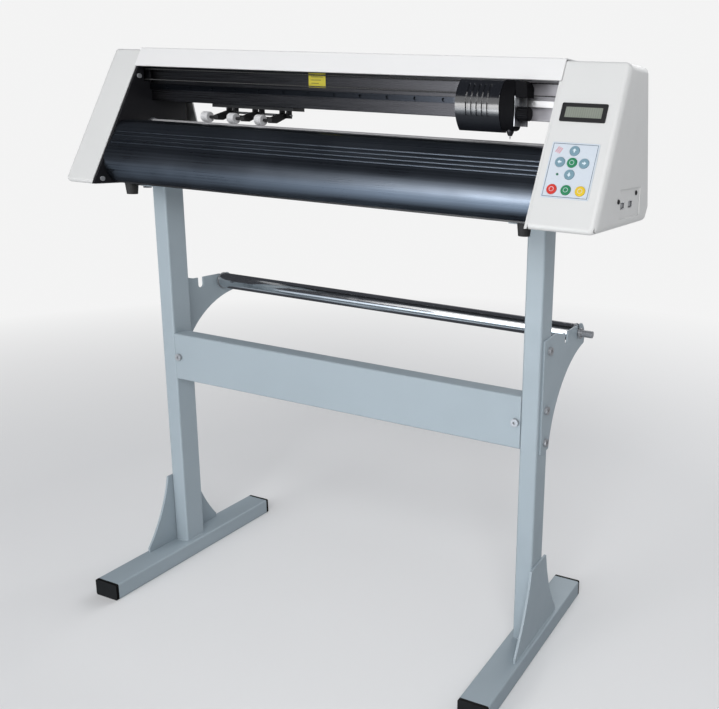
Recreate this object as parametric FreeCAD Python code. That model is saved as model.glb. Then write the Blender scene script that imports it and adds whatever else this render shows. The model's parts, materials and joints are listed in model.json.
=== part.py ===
import FreeCAD, Part
import math
import os

# Vinyl cutter on a floor stand, in millimetres.
# X runs along the head from left to right, Y from the operator to the rear, Z up.
# Parts are drawn with x = 0 midway between the two posts. The files are written with
# x = 0 under the middle of the whole machine. y = 0 is the posts' centre line and
# z = 0 the floor.

V = FreeCAD.Vector
X_AXIS = V(1, 0, 0)
Y_AXIS = V(0, 1, 0)
Z_AXIS = V(0, 0, 1)

# ---------------------------------------------------------------- whole machine
MACHINE_MIDDLE_X = 15.4

# ---------------------------------------------------------------- stand
POST_X = 369.0
POST_W = 30.0
POST_D = 40.0
TUBE_WALL = 2.0
TUBE_CORNER = 3.0
FOOT_W = 50.0
FOOT_H = 30.0
FOOT_LENGTH = 370.0
CAP_T = 5.0
CAP_PLUG = 14.0
PLUG_GAP = 0.2
GUSSET_T = 4.0
GUSSET_H = 135.0
GUSSET_HALF_BASE = 80.0
GUSSET_HALF_TOP = 28.5
GUSSET_WAIST = (48.0, 67.0)
ARM_T = 3.0
BEAM_LOW = 366.0
BEAM_HIGH = 454.0
BEAM_DEPTH = 27.0
SHEET = 2.0
BOLT_R = 3.9
BOLT_HOLE_R = 4.0
BOLT_HEAD_R = 6.5
BOLT_HEAD_H = 4.5
BOLT_HEX_R = 2.5
ROLL_Y = 130.0
ROLL_Z = 527.0
ROLL_R = 15.0
ROLL_WALL = 1.5
ROLL_HALF = 380.0
AXLE_R = 6.0
AXLE_END = 412.0
RUNNING = 0.05
SPARE_NOTCH_Y = 75.0

# ---------------------------------------------------------------- head
HEAD_LEFT = -462.0
HEAD_RIGHT = 497.0
PLATE_LEFT = -394.0
PLATE_RIGHT = 396.0
PLATE_T = 4.0
PLATE_REAR = 74.0
FIT_GAP = 0.3
END_GAP = 0.1
COVER_WALL = 3.0
HEAD_LOW = 729.0
HEAD_HIGH = 956.0
FRONT_LOW_Y = -125.0
FRONT_HIGH_Y = -9.0
REAR_HIGH_Y = 76.0
REAR_LOW_Y = 122.0
REAR_LOW_Z = 750.0
REAR_CHAMFER_Y = 106.0
TOP_RISE = 3.0
LIP_Z = 928.0
REAR_LIP_Z = 873.0
HEAD_PLATE_T = 5.0
PAN_LOW = 731.0
PAN_T = 3.0
PAN_FRONT = -82.0
PAN_REAR = 88.0
PLATEN_LOW = 735.0
PLATEN_TOP = 836.5
REAR_PLATEN_TOP = 834.0
PLATEN_GAP = 12.0
SLOPE_TOP = (-74.0, 822.0)
SLOPE_END = (-90.0, 795.0)
NOSE_FRONT = (-101.5, 766.0)
NOSE_END_Y = -88.0
GROOVE_ZS = (816.5, 810.5, 804.5, 798.5)
FOOT_PAD_R = 10.5
FOOT_PAD_H = 19.0

# ---------------------------------------------------------------- feed drive
FEED_R = 9.0
FEED_Z = 830.3
JOURNAL_R = 5.0
BEARING_R = 11.0
BEARING_W = 7.0
FEED_PULLEY_R = 20.0
FEED_PULLEY_X = 441.0
PULLEY_W = 10.0
MOTOR = 42.0
FEED_MOTOR_Y = 50.0
FEED_MOTOR_Z = 775.0
PINION_R = 8.0
BELT_T = 1.5
WHEEL_R = 9.0
WHEEL_W = 14.0
WHEEL_XS = (-268.0, -211.0, -153.0)
WHEEL_AXLE_R = 2.5
WHEEL_Z = FEED_Z + FEED_R + WHEEL_R + RUNNING
HINGE_Y = 34.0
HINGE_Z = 858.0
HINGE_R = 2.0
PINCH_RIGHT = -98.0
PINCH_BAR_LOW = 865.5
PINCH_BAR_FRONT = 16.0
PINCH_BAR_REAR = 50.0

# ---------------------------------------------------------------- carriage drive
BEAM_FRONT = 2.0
BEAM_REAR = 52.0
RAIL_BEAM_LOW = 871.0
RAIL_BEAM_HIGH = 940.0
RAIL_LOW = 890.5
RAIL_HIGH = 899.5
RAIL_FRONT = -4.5
BELT_Z = 915.0
BELT_R = 8.0
BELT_FRONT = -8.0
BELT_REAR = -2.0
DRIVE_X = 442.0
IDLER_X = -428.0
TOOL_X = 324.5
TOOL_Y = -27.5
TOOL_R = 5.5
CAR_LEFT = 242.0
CAR_RIGHT = 313.0
CAR_END = 355.0
CAR_PLATE_END = 345.0
TOOL_BLOCK_END = 335.3
FLANGE_X = 335.6
FLANGE_T = 1.2
KNOB_X = 337.3
KNOB_R = 10.0
KNOB_Z = 880.0
CAR_FRONT = (-43.5, 884.0)
CAR_BACK = -17.2
CAR_LOW = 852.0
CAR_HIGH = 926.0
RIB_GROOVE = 1.6

# ---------------------------------------------------------------- control panel
PANEL_X = 443.5
KEY_R = 7.2
KEY_PITCH = 17.4
KEY_CENTRE_S = 100.5
KEY_ROW_S = 60.6
KEY_ROW_STEP = 20.5
KEY_HOLE_GAP = 0.25
KEY_TOP = 1.9
KEY_BOTTOM = -5.0
OVERLAY_T = 0.8
OVERLAY_W = 69.0
OVERLAY_LOW_S = 48.0
OVERLAY_HIGH_S = 130.0
LCD_S = 175.2
LCD_W = 67.0
LCD_H = 28.0
LCD_OPEN_W = 58.0
LCD_OPEN_H = 20.0

LEFT_SIDE = -1
RIGHT_SIDE = 1
SIDES = (LEFT_SIDE, RIGHT_SIDE)
FRONT_SLOPE = math.degrees(math.atan2(HEAD_HIGH - HEAD_LOW, FRONT_HIGH_Y - FRONT_LOW_Y))
FOOT_PAD_XS = (-372.0, 372.0)
FOOT_PAD_YS = (-70.0, 76.0)
COVER_SCREWS = ((-22.0, 911.0), (-107.0, 738.0), (64.0, 946.0), (100.0, 739.0))
BOSS_R = 7.5


# ---------------------------------------------------------------- helpers
def box(x0, x1, y0, y1, z0, z1):
    return Part.makeBox(x1 - x0, y1 - y0, z1 - z0, V(x0, y0, z0))


def rod_x(radius, x0, x1, y, z):
    return Part.makeCylinder(radius, x1 - x0, V(x0, y, z), X_AXIS)


def rod_y(radius, y0, y1, x, z):
    return Part.makeCylinder(radius, y1 - y0, V(x, y0, z), Y_AXIS)


def rod_z(radius, z0, z1, x, y):
    return Part.makeCylinder(radius, z1 - z0, V(x, y, z0), Z_AXIS)


def profile(points):
    """Flat face in the YZ plane from (y, z) corners."""
    corners = [V(0, y, z) for y, z in points]
    corners.append(corners[0])
    return Part.Face(Part.makePolygon(corners))


def extrude_x(face, x0, x1):
    solid = face.extrude(V(x1 - x0, 0, 0))
    solid.translate(V(x0, 0, 0))
    return solid


def prism(points, x0, x1):
    return extrude_x(profile(points), x0, x1)


def mirrored(shape, side):
    """The shape as drawn for the right side, or its mirror image for the left side."""
    if side == RIGHT_SIDE:
        return shape
    return shape.mirror(V(0, 0, 0), X_AXIS)


def fuse(shapes):
    result = shapes[0]
    for shape in shapes[1:]:
        result = result.fuse(shape)
    return result.removeSplitter()


def cut(shape, tools):
    for tool in tools:
        shape = shape.cut(tool)
    return shape


def tube(x0, x1, y0, y1, z0, z1, wall, corner, axis):
    """Rectangular tube with rounded corners and open ends along one axis."""
    dx, dy, dz = [0 if along else wall for along in (axis.x, axis.y, axis.z)]
    inner = box(x0 + dx, x1 - dx, y0 + dy, y1 - dy, z0 + dz, z1 - dz)
    outer = rounded(box(x0, x1, y0, y1, z0, z1), corner, lambda e: runs_along(e, axis))
    return outer.cut(inner)


def rounded(shape, radius, keep):
    """Fillet the edges that the test function picks."""
    edges = [edge for edge in shape.Edges if keep(edge)]
    return shape.makeFillet(radius, edges)


def runs_along(edge, axis):
    span = edge.Vertexes[-1].Point - edge.Vertexes[0].Point
    return span.Length > 1.0 and span.cross(axis).Length < 0.01


def bolt(tip, head_face, axis):
    """Socket-head bolt from its tip to the face its head rests on."""
    length = (head_face - tip).Length
    shank = Part.makeCylinder(BOLT_R, length, tip, axis)
    head = Part.makeCylinder(BOLT_HEAD_R, BOLT_HEAD_H, head_face, axis)
    socket_floor = head_face + axis * (BOLT_HEAD_H - 2.5)
    socket = Part.makeCylinder(BOLT_HEX_R, BOLT_HEAD_H, socket_floor, axis)
    return shank.fuse(head).cut(socket)


def panel(shape):
    """Move a shape drawn on the flat (x, s, w) onto the sloping front of the end covers."""
    rotation = FreeCAD.Rotation(X_AXIS, FRONT_SLOPE)
    placement = FreeCAD.Placement(V(0, FRONT_LOW_Y, HEAD_LOW), rotation)
    moved = shape.copy()
    moved.Placement = placement.multiply(moved.Placement)
    return moved


def belt_face(first, r1, second, r2):
    """Convex outline round two circles, as a face in the plane of the centres."""
    delta = second - first
    span = delta.Length
    base = math.atan2(delta.z, delta.y)
    spread = math.acos((r1 - r2) / span)

    def on(centre, radius, angle):
        return centre + V(0, radius * math.cos(angle), radius * math.sin(angle))

    a1 = on(first, r1, base + spread)
    a2 = on(second, r2, base + spread)
    b1 = on(first, r1, base - spread)
    b2 = on(second, r2, base - spread)
    far = Part.Arc(a2, on(second, r2, base), b2).toShape()
    near = Part.Arc(b1, on(first, r1, base + math.pi), a1).toShape()
    edges = [Part.makeLine(a1, a2), far, Part.makeLine(b2, b1), near]
    return Part.Face(Part.Wire(edges))


def belt_loop(first, r1, second, r2, width):
    """Flat belt round two pulleys that turn about X, drawn from x = 0."""
    outer = belt_face(first, r1 + RUNNING + BELT_T, second, r2 + RUNNING + BELT_T)
    inner = belt_face(first, r1 + RUNNING, second, r2 + RUNNING)
    return outer.cut(inner).extrude(V(width, 0, 0))


def head_outline():
    return [
        (FRONT_LOW_Y, HEAD_LOW),
        (FRONT_HIGH_Y, HEAD_HIGH),
        (REAR_HIGH_Y, HEAD_HIGH),
        (REAR_LOW_Y, REAR_LOW_Z),
        (REAR_CHAMFER_Y, HEAD_LOW),
    ]


# ---------------------------------------------------------------- stand parts
def foot_tube(side):
    half = FOOT_LENGTH / 2 - CAP_T
    x = side * POST_X
    return tube(x - FOOT_W / 2, x + FOOT_W / 2, -half, half, 0, FOOT_H,
                TUBE_WALL, TUBE_CORNER, Y_AXIS)


def foot_end_caps():
    half = FOOT_LENGTH / 2
    inset = TUBE_WALL + PLUG_GAP
    caps = []
    for side in SIDES:
        left = side * POST_X - FOOT_W / 2
        right = side * POST_X + FOOT_W / 2
        for front in (True, False):
            plate = box(left, right, half - CAP_T, half, 0, FOOT_H)
            plate = rounded(plate, TUBE_CORNER, lambda e: runs_along(e, Y_AXIS))
            plug = box(left + inset, right - inset, half - CAP_T - CAP_PLUG, half - CAP_T,
                       inset, FOOT_H - inset)
            cap = plate.fuse(plug)
            if front:
                cap = cap.mirror(V(0, 0, 0), Y_AXIS)
            caps.append(cap)
    return caps


def post(side):
    x = side * POST_X
    top = PAN_LOW - HEAD_PLATE_T
    body = tube(x - POST_W / 2, x + POST_W / 2, -POST_D / 2, POST_D / 2, FOOT_H, top,
                TUBE_WALL, TUBE_CORNER, Z_AXIS)
    inner_face = POST_X - POST_W / 2
    outer_face = POST_X + POST_W / 2
    holes = []
    for y, z in bracket_bolt_places():
        holes.append(rod_x(BOLT_HOLE_R, inner_face - 1, inner_face + TUBE_WALL + 1, y, z))
    for y, z in arm_bolt_places():
        holes.append(rod_x(BOLT_HOLE_R, outer_face - TUBE_WALL - 1, outer_face + 1, y, z))
    return cut(body, [mirrored(hole, side) for hole in holes])


def gusset_plate(side):
    """Flared plate that stands on the foot against the outer face of the post."""
    low = FOOT_H
    high = FOOT_H + GUSSET_H
    half = GUSSET_HALF_TOP
    base = GUSSET_HALF_BASE
    toe = 8.0
    waist_y, waist_height = GUSSET_WAIST
    waist_z = low + waist_height

    def at(y, z):
        return V(0, y, z)

    edges = [
        Part.makeLine(at(-base, low), at(base, low)),
        Part.makeLine(at(base, low), at(base, low + toe)),
        Part.Arc(at(base, low + toe), at(waist_y, waist_z), at(half, high)).toShape(),
        Part.makeLine(at(half, high), at(-half, high)),
        Part.Arc(at(-half, high), at(-waist_y, waist_z), at(-base, low + toe)).toShape(),
        Part.makeLine(at(-base, low + toe), at(-base, low)),
    ]
    outer_face = POST_X + POST_W / 2
    plate = extrude_x(Part.Face(Part.Wire(edges)), outer_face, outer_face + GUSSET_T)
    return mirrored(plate, side)


def cross_beam():
    """Channel pressed from sheet, open to the rear."""
    half = POST_X - POST_W / 2 - END_GAP
    front = -POST_D / 2
    outer = box(-half, half, front, front + BEAM_DEPTH, BEAM_LOW, BEAM_HIGH)
    outer = rounded(outer, 3.0, lambda e: runs_along(e, X_AXIS) and e.CenterOfMass.y < front + 0.1)
    hollow = box(-half - 1, half + 1, front + SHEET, front + BEAM_DEPTH + 1,
                 BEAM_LOW + SHEET, BEAM_HIGH - SHEET)
    holes = [rod_y(BOLT_HOLE_R, front - 1, front + SHEET + 1, x, z) for x, z in web_bolt_places()]
    return cut(outer, [hollow] + holes)


def web_bolt_places():
    middle = (BEAM_LOW + BEAM_HIGH) / 2
    x = POST_X - POST_W / 2 - 9.0
    return [(-x, middle), (x, middle)]


def bracket_bolt_places():
    middle = (BEAM_LOW + BEAM_HIGH) / 2
    return [(6.0, middle - 20.0), (6.0, middle + 20.0)]


def arm_bolt_places():
    return [(2.0, 376.0), (2.0, 430.0), (6.0, 526.0)]


def beam_bracket(side):
    """Angle between the post's inner face and the back of the channel's web."""
    inner_face = POST_X - POST_W / 2
    web_back = -POST_D / 2 + SHEET
    low = BEAM_LOW + 12.0
    high = BEAM_HIGH - 12.0
    flange = box(inner_face - 3, inner_face, web_back, 16.0, low, high)
    tab = box(inner_face - 20, inner_face - 3, web_back, web_back + 3, low, high)
    holes = [rod_x(BOLT_HOLE_R, inner_face - 4, inner_face + 1, y, z) for y, z in bracket_bolt_places()]
    x, z = web_bolt_places()[1]
    holes.append(rod_y(BOLT_HOLE_R, web_back - 1, web_back + 4, x, z))
    return mirrored(cut(flange.fuse(tab), holes), side)


def roll_arm(side):
    """Curved plate that carries the media roll behind the post."""
    top = 541.0
    tip_y = 156.0

    def at(y, z):
        return V(0, y, z)

    edges = [
        Part.makeLine(at(-12, 360), at(-12, 545)),
        Part.makeLine(at(-12, 545), at(34, 548)),
        Part.makeLine(at(34, 548), at(60, top)),
        Part.makeLine(at(60, top), at(tip_y - 12, top)),
        Part.Arc(at(tip_y - 12, top), at(tip_y - 1, top - 12), at(tip_y, 504)).toShape(),
        Part.Arc(at(tip_y, 504), at(75, 466), at(18, 360)).toShape(),
        Part.makeLine(at(18, 360), at(-12, 360)),
    ]
    inner = POST_X + POST_W / 2
    plate = extrude_x(Part.Face(Part.Wire(edges)), inner, inner + ARM_T)
    tools = []
    for y in (SPARE_NOTCH_Y, ROLL_Y):
        seat = AXLE_R + RUNNING
        tools.append(rod_x(seat, inner - 1, inner + ARM_T + 1, y, ROLL_Z))
        tools.append(box(inner - 1, inner + ARM_T + 1, y - seat, y + seat, ROLL_Z, top + 20))
    for y, z in arm_bolt_places():
        tools.append(rod_x(BOLT_HOLE_R, inner - 1, inner + ARM_T + 1, y, z))
    return mirrored(cut(plate, tools), side)


def roll_shaft():
    outer = rod_x(ROLL_R, -ROLL_HALF, ROLL_HALF, ROLL_Y, ROLL_Z)
    return outer.cut(rod_x(ROLL_R - ROLL_WALL, -ROLL_HALF, ROLL_HALF, ROLL_Y, ROLL_Z))


def roll_end_plug(side):
    """Plug pressed into the roll tube, with a collar and the axle that rests in the arm."""
    bore = ROLL_R - ROLL_WALL - 0.02
    plug = rod_x(bore, ROLL_HALF - 25, ROLL_HALF, ROLL_Y, ROLL_Z)
    collar = rod_x(ROLL_R + 1.0, ROLL_HALF, ROLL_HALF + 2.5, ROLL_Y, ROLL_Z)
    axle = rod_x(AXLE_R, ROLL_HALF, AXLE_END, ROLL_Y, ROLL_Z)
    lip_x = POST_X + POST_W / 2 + ARM_T
    lip = rod_x(AXLE_R + 3, lip_x + 1.5, lip_x + 5.5, ROLL_Y, ROLL_Z)
    return mirrored(fuse([plug, collar, axle, lip]), side)


def head_plate(side):
    """Plate welded across the top of the post, under the head."""
    top = PAN_LOW
    plate = box(POST_X - 28, POST_X + 20, -58, 58, top - HEAD_PLATE_T, top)
    holes = [rod_z(BOLT_HOLE_R, top - HEAD_PLATE_T - 1, top + 1, POST_X, y) for y in head_bolt_ys()]
    return mirrored(cut(plate, holes), side)


def head_bolt_ys():
    return (-42.0, 42.0)


def stand_bolts():
    """All the identical bolts of the stand."""
    bolts = []
    inner_face = POST_X - POST_W / 2
    outer_face = POST_X + POST_W / 2
    front = -POST_D / 2
    for side in SIDES:
        for y, z in bracket_bolt_places():
            tip = V(inner_face + 8, y, z)
            shape = bolt(tip, V(inner_face - 3, y, z), V(-1, 0, 0))
            bolts.append(mirrored(shape, side))
        for y, z in arm_bolt_places():
            tip = V(outer_face - 10, y, z)
            shape = bolt(tip, V(outer_face + ARM_T, y, z), X_AXIS)
            bolts.append(mirrored(shape, side))
        x, z = web_bolt_places()[1]
        shape = bolt(V(x, front + 12, z), V(x, front, z), V(0, -1, 0))
        bolts.append(mirrored(shape, side))
        for y in head_bolt_ys():
            tip = V(POST_X, y, PAN_LOW + PAN_T)
            shape = bolt(tip, V(POST_X, y, PAN_LOW - HEAD_PLATE_T), V(0, 0, -1))
            bolts.append(mirrored(shape, side))
    return bolts


# ---------------------------------------------------------------- head frame
def base_pan():
    pan = box(PLATE_LEFT + END_GAP, PLATE_RIGHT - END_GAP, PAN_FRONT, PAN_REAR, PAN_LOW,
              PAN_LOW + PAN_T)
    holes = []
    for side in SIDES:
        for y in head_bolt_ys():
            holes.append(rod_z(BOLT_HOLE_R, PAN_LOW - 1, PAN_LOW + PAN_T + 1, side * POST_X, y))
    return cut(pan, holes)


def rubber_feet():
    feet = []
    for x in FOOT_PAD_XS:
        for y in FOOT_PAD_YS:
            low = PAN_LOW - FOOT_PAD_H
            pad = Part.makeCone(FOOT_PAD_R - 2, FOOT_PAD_R, FOOT_PAD_H, V(x, y, low), Z_AXIS)
            recess = rod_z(5.0, low - 1, low + 4, x, y)
            feet.append(pad.cut(recess))
    return feet


def side_plate_outline():
    """The head outline inset a little, with the media gap left open at the rear."""
    whole = profile(head_outline()).makeOffset2D(-1.0, join=2)
    above = HEAD_HIGH + 10
    relief_low = 836
    rear_relief = profile([(PLATE_REAR, above), (PLATE_REAR, relief_low), (REAR_LOW_Y, 790),
                           (REAR_LOW_Y, above)])
    return whole.cut(rear_relief).Faces[0]


def left_side_plate():
    outer_x = PLATE_LEFT - PLATE_T
    plate = extrude_x(side_plate_outline(), outer_x, PLATE_LEFT)
    tab = box(IDLER_X - 12, outer_x, 0, 4, BELT_Z - 15, BELT_Z + 15)
    plate = plate.fuse(tab)
    tools = [
        rod_x(BEARING_R + 0.02, outer_x - 1, PLATE_LEFT + 1, 0, FEED_Z),
        box(outer_x - 1, PLATE_LEFT + 1, -12, 0, BELT_Z - 12, BELT_Z + 12),
        rod_y(3 + RUNNING, -1, 5, IDLER_X, BELT_Z),
    ]
    tools += [rod_x(2.1, outer_x - 1, PLATE_LEFT + 1, y, z) for y, z in COVER_SCREWS]
    return cut(plate, tools)


def right_side_plate():
    outer_x = PLATE_RIGHT + PLATE_T
    plate = extrude_x(side_plate_outline(), PLATE_RIGHT, outer_x)
    half = MOTOR / 2
    tab = box(outer_x, DRIVE_X + half, 4, 8, BELT_Z - half, BELT_Z + half)
    plate = plate.fuse(tab)
    tools = [
        rod_x(BEARING_R + 0.02, PLATE_RIGHT - 1, outer_x + 1, 0, FEED_Z),
        box(PLATE_RIGHT - 1, outer_x + 1, -12, 0, BELT_Z - 12, BELT_Z + 12),
        rod_y(6, 3, 9, DRIVE_X, BELT_Z),
    ]
    tools += [rod_x(2.1, PLATE_RIGHT - 1, outer_x + 1, y, z) for y, z in COVER_SCREWS]
    return cut(plate, tools)


def cover_screws():
    """Pan-head screws that hold each end cover to its side plate."""
    screws = []
    for y, z in COVER_SCREWS:
        left_head = rod_x(4.0, PLATE_LEFT, PLATE_LEFT + 2.2, y, z)
        left_shank = rod_x(1.95, PLATE_LEFT - 16, PLATE_LEFT, y, z)
        screws.append(left_head.fuse(left_shank))
        right_head = rod_x(4.0, PLATE_RIGHT - 2.2, PLATE_RIGHT, y, z)
        right_shank = rod_x(1.95, PLATE_RIGHT, PLATE_RIGHT + 16, y, z)
        screws.append(right_head.fuse(right_shank))
    return screws


def end_cover_shell(x_open, x_closed, corner):
    """Moulded end cover: the head outline, hollow, open on the side plate."""
    low, high = min(x_open, x_closed), max(x_open, x_closed)
    outer = extrude_x(profile(head_outline()), low, high)
    long_edges = [e for e in outer.Edges if runs_along(e, X_AXIS)]
    outer = outer.makeFillet(6.0, long_edges)
    outer = rounded(outer, corner, lambda e: abs(e.CenterOfMass.x - x_closed) < 0.01
                    and abs(e.BoundBox.XLength) < 0.01)
    face = profile(head_outline()).makeOffset2D(-COVER_WALL, join=2)
    step = math.copysign(COVER_WALL, x_open - x_closed)
    start, end = sorted((x_closed + step, x_open + math.copysign(1.0, x_open - x_closed)))
    core = extrude_x(face, start, end)
    core = core.makeFillet(3.5, [e for e in core.Edges if runs_along(e, X_AXIS)])
    shell = outer.cut(core)
    boss_end = x_open + math.copysign(24.0, x_closed - x_open)
    boss_low, boss_high = sorted((x_open, boss_end))
    keep = extrude_x(profile(head_outline()).makeOffset2D(-1.5, join=2), low, high)
    for y, z in COVER_SCREWS:
        boss = rod_x(BOSS_R, boss_low, boss_high, y, z).common(keep)
        shell = shell.fuse(boss)
    hole_low, hole_high = sorted((x_open, boss_end - math.copysign(3.0, x_closed - x_open)))
    return cut(shell, [rod_x(2.0, hole_low - 0.5, hole_high + 0.5, y, z) for y, z in COVER_SCREWS])


def left_cover():
    cover = end_cover_shell(PLATE_LEFT - PLATE_T - FIT_GAP, HEAD_LEFT, 8.0)
    inlet_hole = box(HEAD_LEFT - 1, HEAD_LEFT + COVER_WALL + 1, 29.8, 58.2, 809.8, 834.2)
    switch_hole = box(HEAD_LEFT - 1, HEAD_LEFT + COVER_WALL + 1, -7.2, 7.2, 810.4, 833.6)
    return cut(cover, [inlet_hole, switch_hole])


def right_cover():
    cover = end_cover_shell(PLATE_RIGHT + PLATE_T + FIT_GAP, HEAD_RIGHT, 10.0)
    tools = []
    for x, s in key_places().values():
        tools.append(panel(rod_z(KEY_R + KEY_HOLE_GAP, -8, 3, x, s)))
    half_w, half_h = LCD_OPEN_W / 2 + 0.2, LCD_OPEN_H / 2 + 0.2
    tools.append(panel(box(PANEL_X - half_w, PANEL_X + half_w, LCD_S - half_h, LCD_S + half_h, -8, 3)))
    tools.append(box(HEAD_RIGHT - 1.6, HEAD_RIGHT + 1, -27, 69, 742, 784))
    for y in (-12.0, 24.0):
        tools.append(box(HEAD_RIGHT - 8, HEAD_RIGHT + 1, y - 7, y + 7, 756, 766))
    return cut(cover, tools)


def offset_outline(points, distance):
    """The same open outline moved sideways by a distance, with mitred corners."""
    normals = []
    for (y0, z0), (y1, z1) in zip(points, points[1:]):
        length = math.hypot(y1 - y0, z1 - z0)
        normals.append(((z1 - z0) / length, -(y1 - y0) / length))
    moved = []
    for i, (y, z) in enumerate(points):
        before = normals[max(i - 1, 0)]
        after = normals[min(i, len(normals) - 1)]
        ny, nz = before[0] + after[0], before[1] + after[1]
        scale = distance * 2.0 / (ny * ny + nz * nz)
        moved.append((y + ny * scale, z + nz * scale))
    return moved


def top_cover():
    """Bent sheet over the carriage beam: front lip, flat top and sloping rear wall."""
    rise = (FRONT_HIGH_Y - FRONT_LOW_Y) / (HEAD_HIGH - HEAD_LOW)
    fall = (REAR_LOW_Y - REAR_HIGH_Y) / (HEAD_HIGH - REAR_LOW_Z)
    top = HEAD_HIGH + TOP_RISE
    outline = [
        (FRONT_HIGH_Y - 1 - (top - LIP_Z) * rise, LIP_Z),
        (FRONT_HIGH_Y - 1, top),
        (REAR_HIGH_Y, top),
        (REAR_HIGH_Y + (top - REAR_LIP_Z) * fall, REAR_LIP_Z),
    ]
    inner = offset_outline(outline, SHEET)
    points = outline + inner[::-1]
    sheet = prism(points, PLATE_LEFT - PLATE_T, PLATE_RIGHT + PLATE_T)
    return rounded(sheet, 3.0, lambda e: runs_along(e, X_AXIS) and abs(e.CenterOfMass.z - top) < 0.1)


def platen():
    """Hollow apron extrusion: flat top, ribbed slope and rounded nose."""
    def at(y, z):
        return V(0, y, z)

    rear = -PLATEN_GAP
    edges = [
        Part.makeLine(at(rear, PLATEN_LOW), at(rear, PLATEN_TOP)),
        Part.makeLine(at(rear, PLATEN_TOP), at(-52, PLATEN_TOP)),
        Part.Arc(at(-52, PLATEN_TOP), at(-64.5, 832.8), at(*SLOPE_TOP)).toShape(),
        Part.makeLine(at(*SLOPE_TOP), at(*SLOPE_END)),
        Part.Arc(at(*SLOPE_END), at(*NOSE_FRONT), at(NOSE_END_Y, PLATEN_LOW)).toShape(),
        Part.makeLine(at(NOSE_END_Y, PLATEN_LOW), at(rear, PLATEN_LOW)),
    ]
    face = Part.Face(Part.Wire(edges))
    x0, x1 = PLATE_LEFT + END_GAP, PLATE_RIGHT - END_GAP
    body = extrude_x(face, x0, x1).cut(extrude_x(face.makeOffset2D(-3.0, join=2), x0 - 1, x1 + 1))
    slope_y = (SLOPE_TOP[0] - SLOPE_END[0]) / (SLOPE_TOP[1] - SLOPE_END[1])
    tools = [box(x0 - 1, x1 + 1, TOOL_Y - 4.1, TOOL_Y + 4.1, PLATEN_TOP - 1.2, PLATEN_TOP + 1)]
    for z in GROOVE_ZS:
        y = SLOPE_TOP[0] - (SLOPE_TOP[1] - z) * slope_y
        tools.append(rod_x(1.1, x0 - 1, x1 + 1, y, z))
    return cut(body, tools)


def rear_platen():
    """Hollow extrusion behind the feed roller."""
    points = [
        (PLATEN_GAP, PLATEN_LOW),
        (PLATEN_GAP, REAR_PLATEN_TOP),
        (62, REAR_PLATEN_TOP),
        (84, 808),
        (90, 770),
        (82, PLATEN_LOW),
    ]
    face = profile(points)
    x0, x1 = PLATE_LEFT + END_GAP, PLATE_RIGHT - END_GAP
    outer = extrude_x(face, x0, x1)
    outer = rounded(outer, 8.0, lambda e: runs_along(e, X_AXIS) and e.CenterOfMass.y > 60
                    and e.CenterOfMass.z > 760)
    return outer.cut(extrude_x(face.makeOffset2D(-3.0, join=2), x0 - 1, x1 + 1))


def cutting_strip():
    return box(PLATE_LEFT + 1, PLATE_RIGHT - 1, TOOL_Y - 4, TOOL_Y + 4, PLATEN_TOP - 1.2, PLATEN_TOP)


# ---------------------------------------------------------------- feed drive
def feed_shaft():
    """Knurled roller with a journal at each end."""
    roller = rod_x(FEED_R, PLATE_LEFT + 4, PLATE_RIGHT - 4, 0, FEED_Z)
    journal = rod_x(JOURNAL_R, PLATE_LEFT - 12, FEED_PULLEY_X + PULLEY_W + 3, 0, FEED_Z)
    return roller.fuse(journal)


def feed_bearings():
    bearings = []
    for middle in (PLATE_LEFT - PLATE_T / 2, PLATE_RIGHT + PLATE_T / 2):
        ring = rod_x(BEARING_R, middle - BEARING_W / 2, middle + BEARING_W / 2, 0, FEED_Z)
        bearings.append(ring.cut(rod_x(JOURNAL_R + RUNNING, middle - 10, middle + 10, 0, FEED_Z)))
    return bearings


def feed_pulley():
    disc = rod_x(FEED_PULLEY_R, FEED_PULLEY_X, FEED_PULLEY_X + PULLEY_W, 0, FEED_Z)
    return disc.cut(rod_x(JOURNAL_R + 0.01, FEED_PULLEY_X - 1, FEED_PULLEY_X + PULLEY_W + 1, 0, FEED_Z))


def feed_belt():
    loop = belt_loop(V(0, 0, FEED_Z), FEED_PULLEY_R, V(0, FEED_MOTOR_Y, FEED_MOTOR_Z), PINION_R,
                     PULLEY_W - 2)
    loop.translate(V(FEED_PULLEY_X + 1, 0, 0))
    return loop


def feed_motor():
    x0 = PLATE_RIGHT + PLATE_T
    half = MOTOR / 2
    can = box(x0, FEED_PULLEY_X - 2, FEED_MOTOR_Y - half, FEED_MOTOR_Y + half,
              FEED_MOTOR_Z - half, FEED_MOTOR_Z + half)
    can = rounded(can, 5.0, lambda e: runs_along(e, X_AXIS))
    return can.cut(rod_x(2.5 + RUNNING, FEED_PULLEY_X - 15, FEED_PULLEY_X, FEED_MOTOR_Y, FEED_MOTOR_Z))


def feed_motor_pinion():
    disc = rod_x(PINION_R, FEED_PULLEY_X, FEED_PULLEY_X + PULLEY_W, FEED_MOTOR_Y, FEED_MOTOR_Z)
    shaft = rod_x(2.5, FEED_PULLEY_X - 12, FEED_PULLEY_X + 1, FEED_MOTOR_Y, FEED_MOTOR_Z)
    return disc.fuse(shaft)


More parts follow.
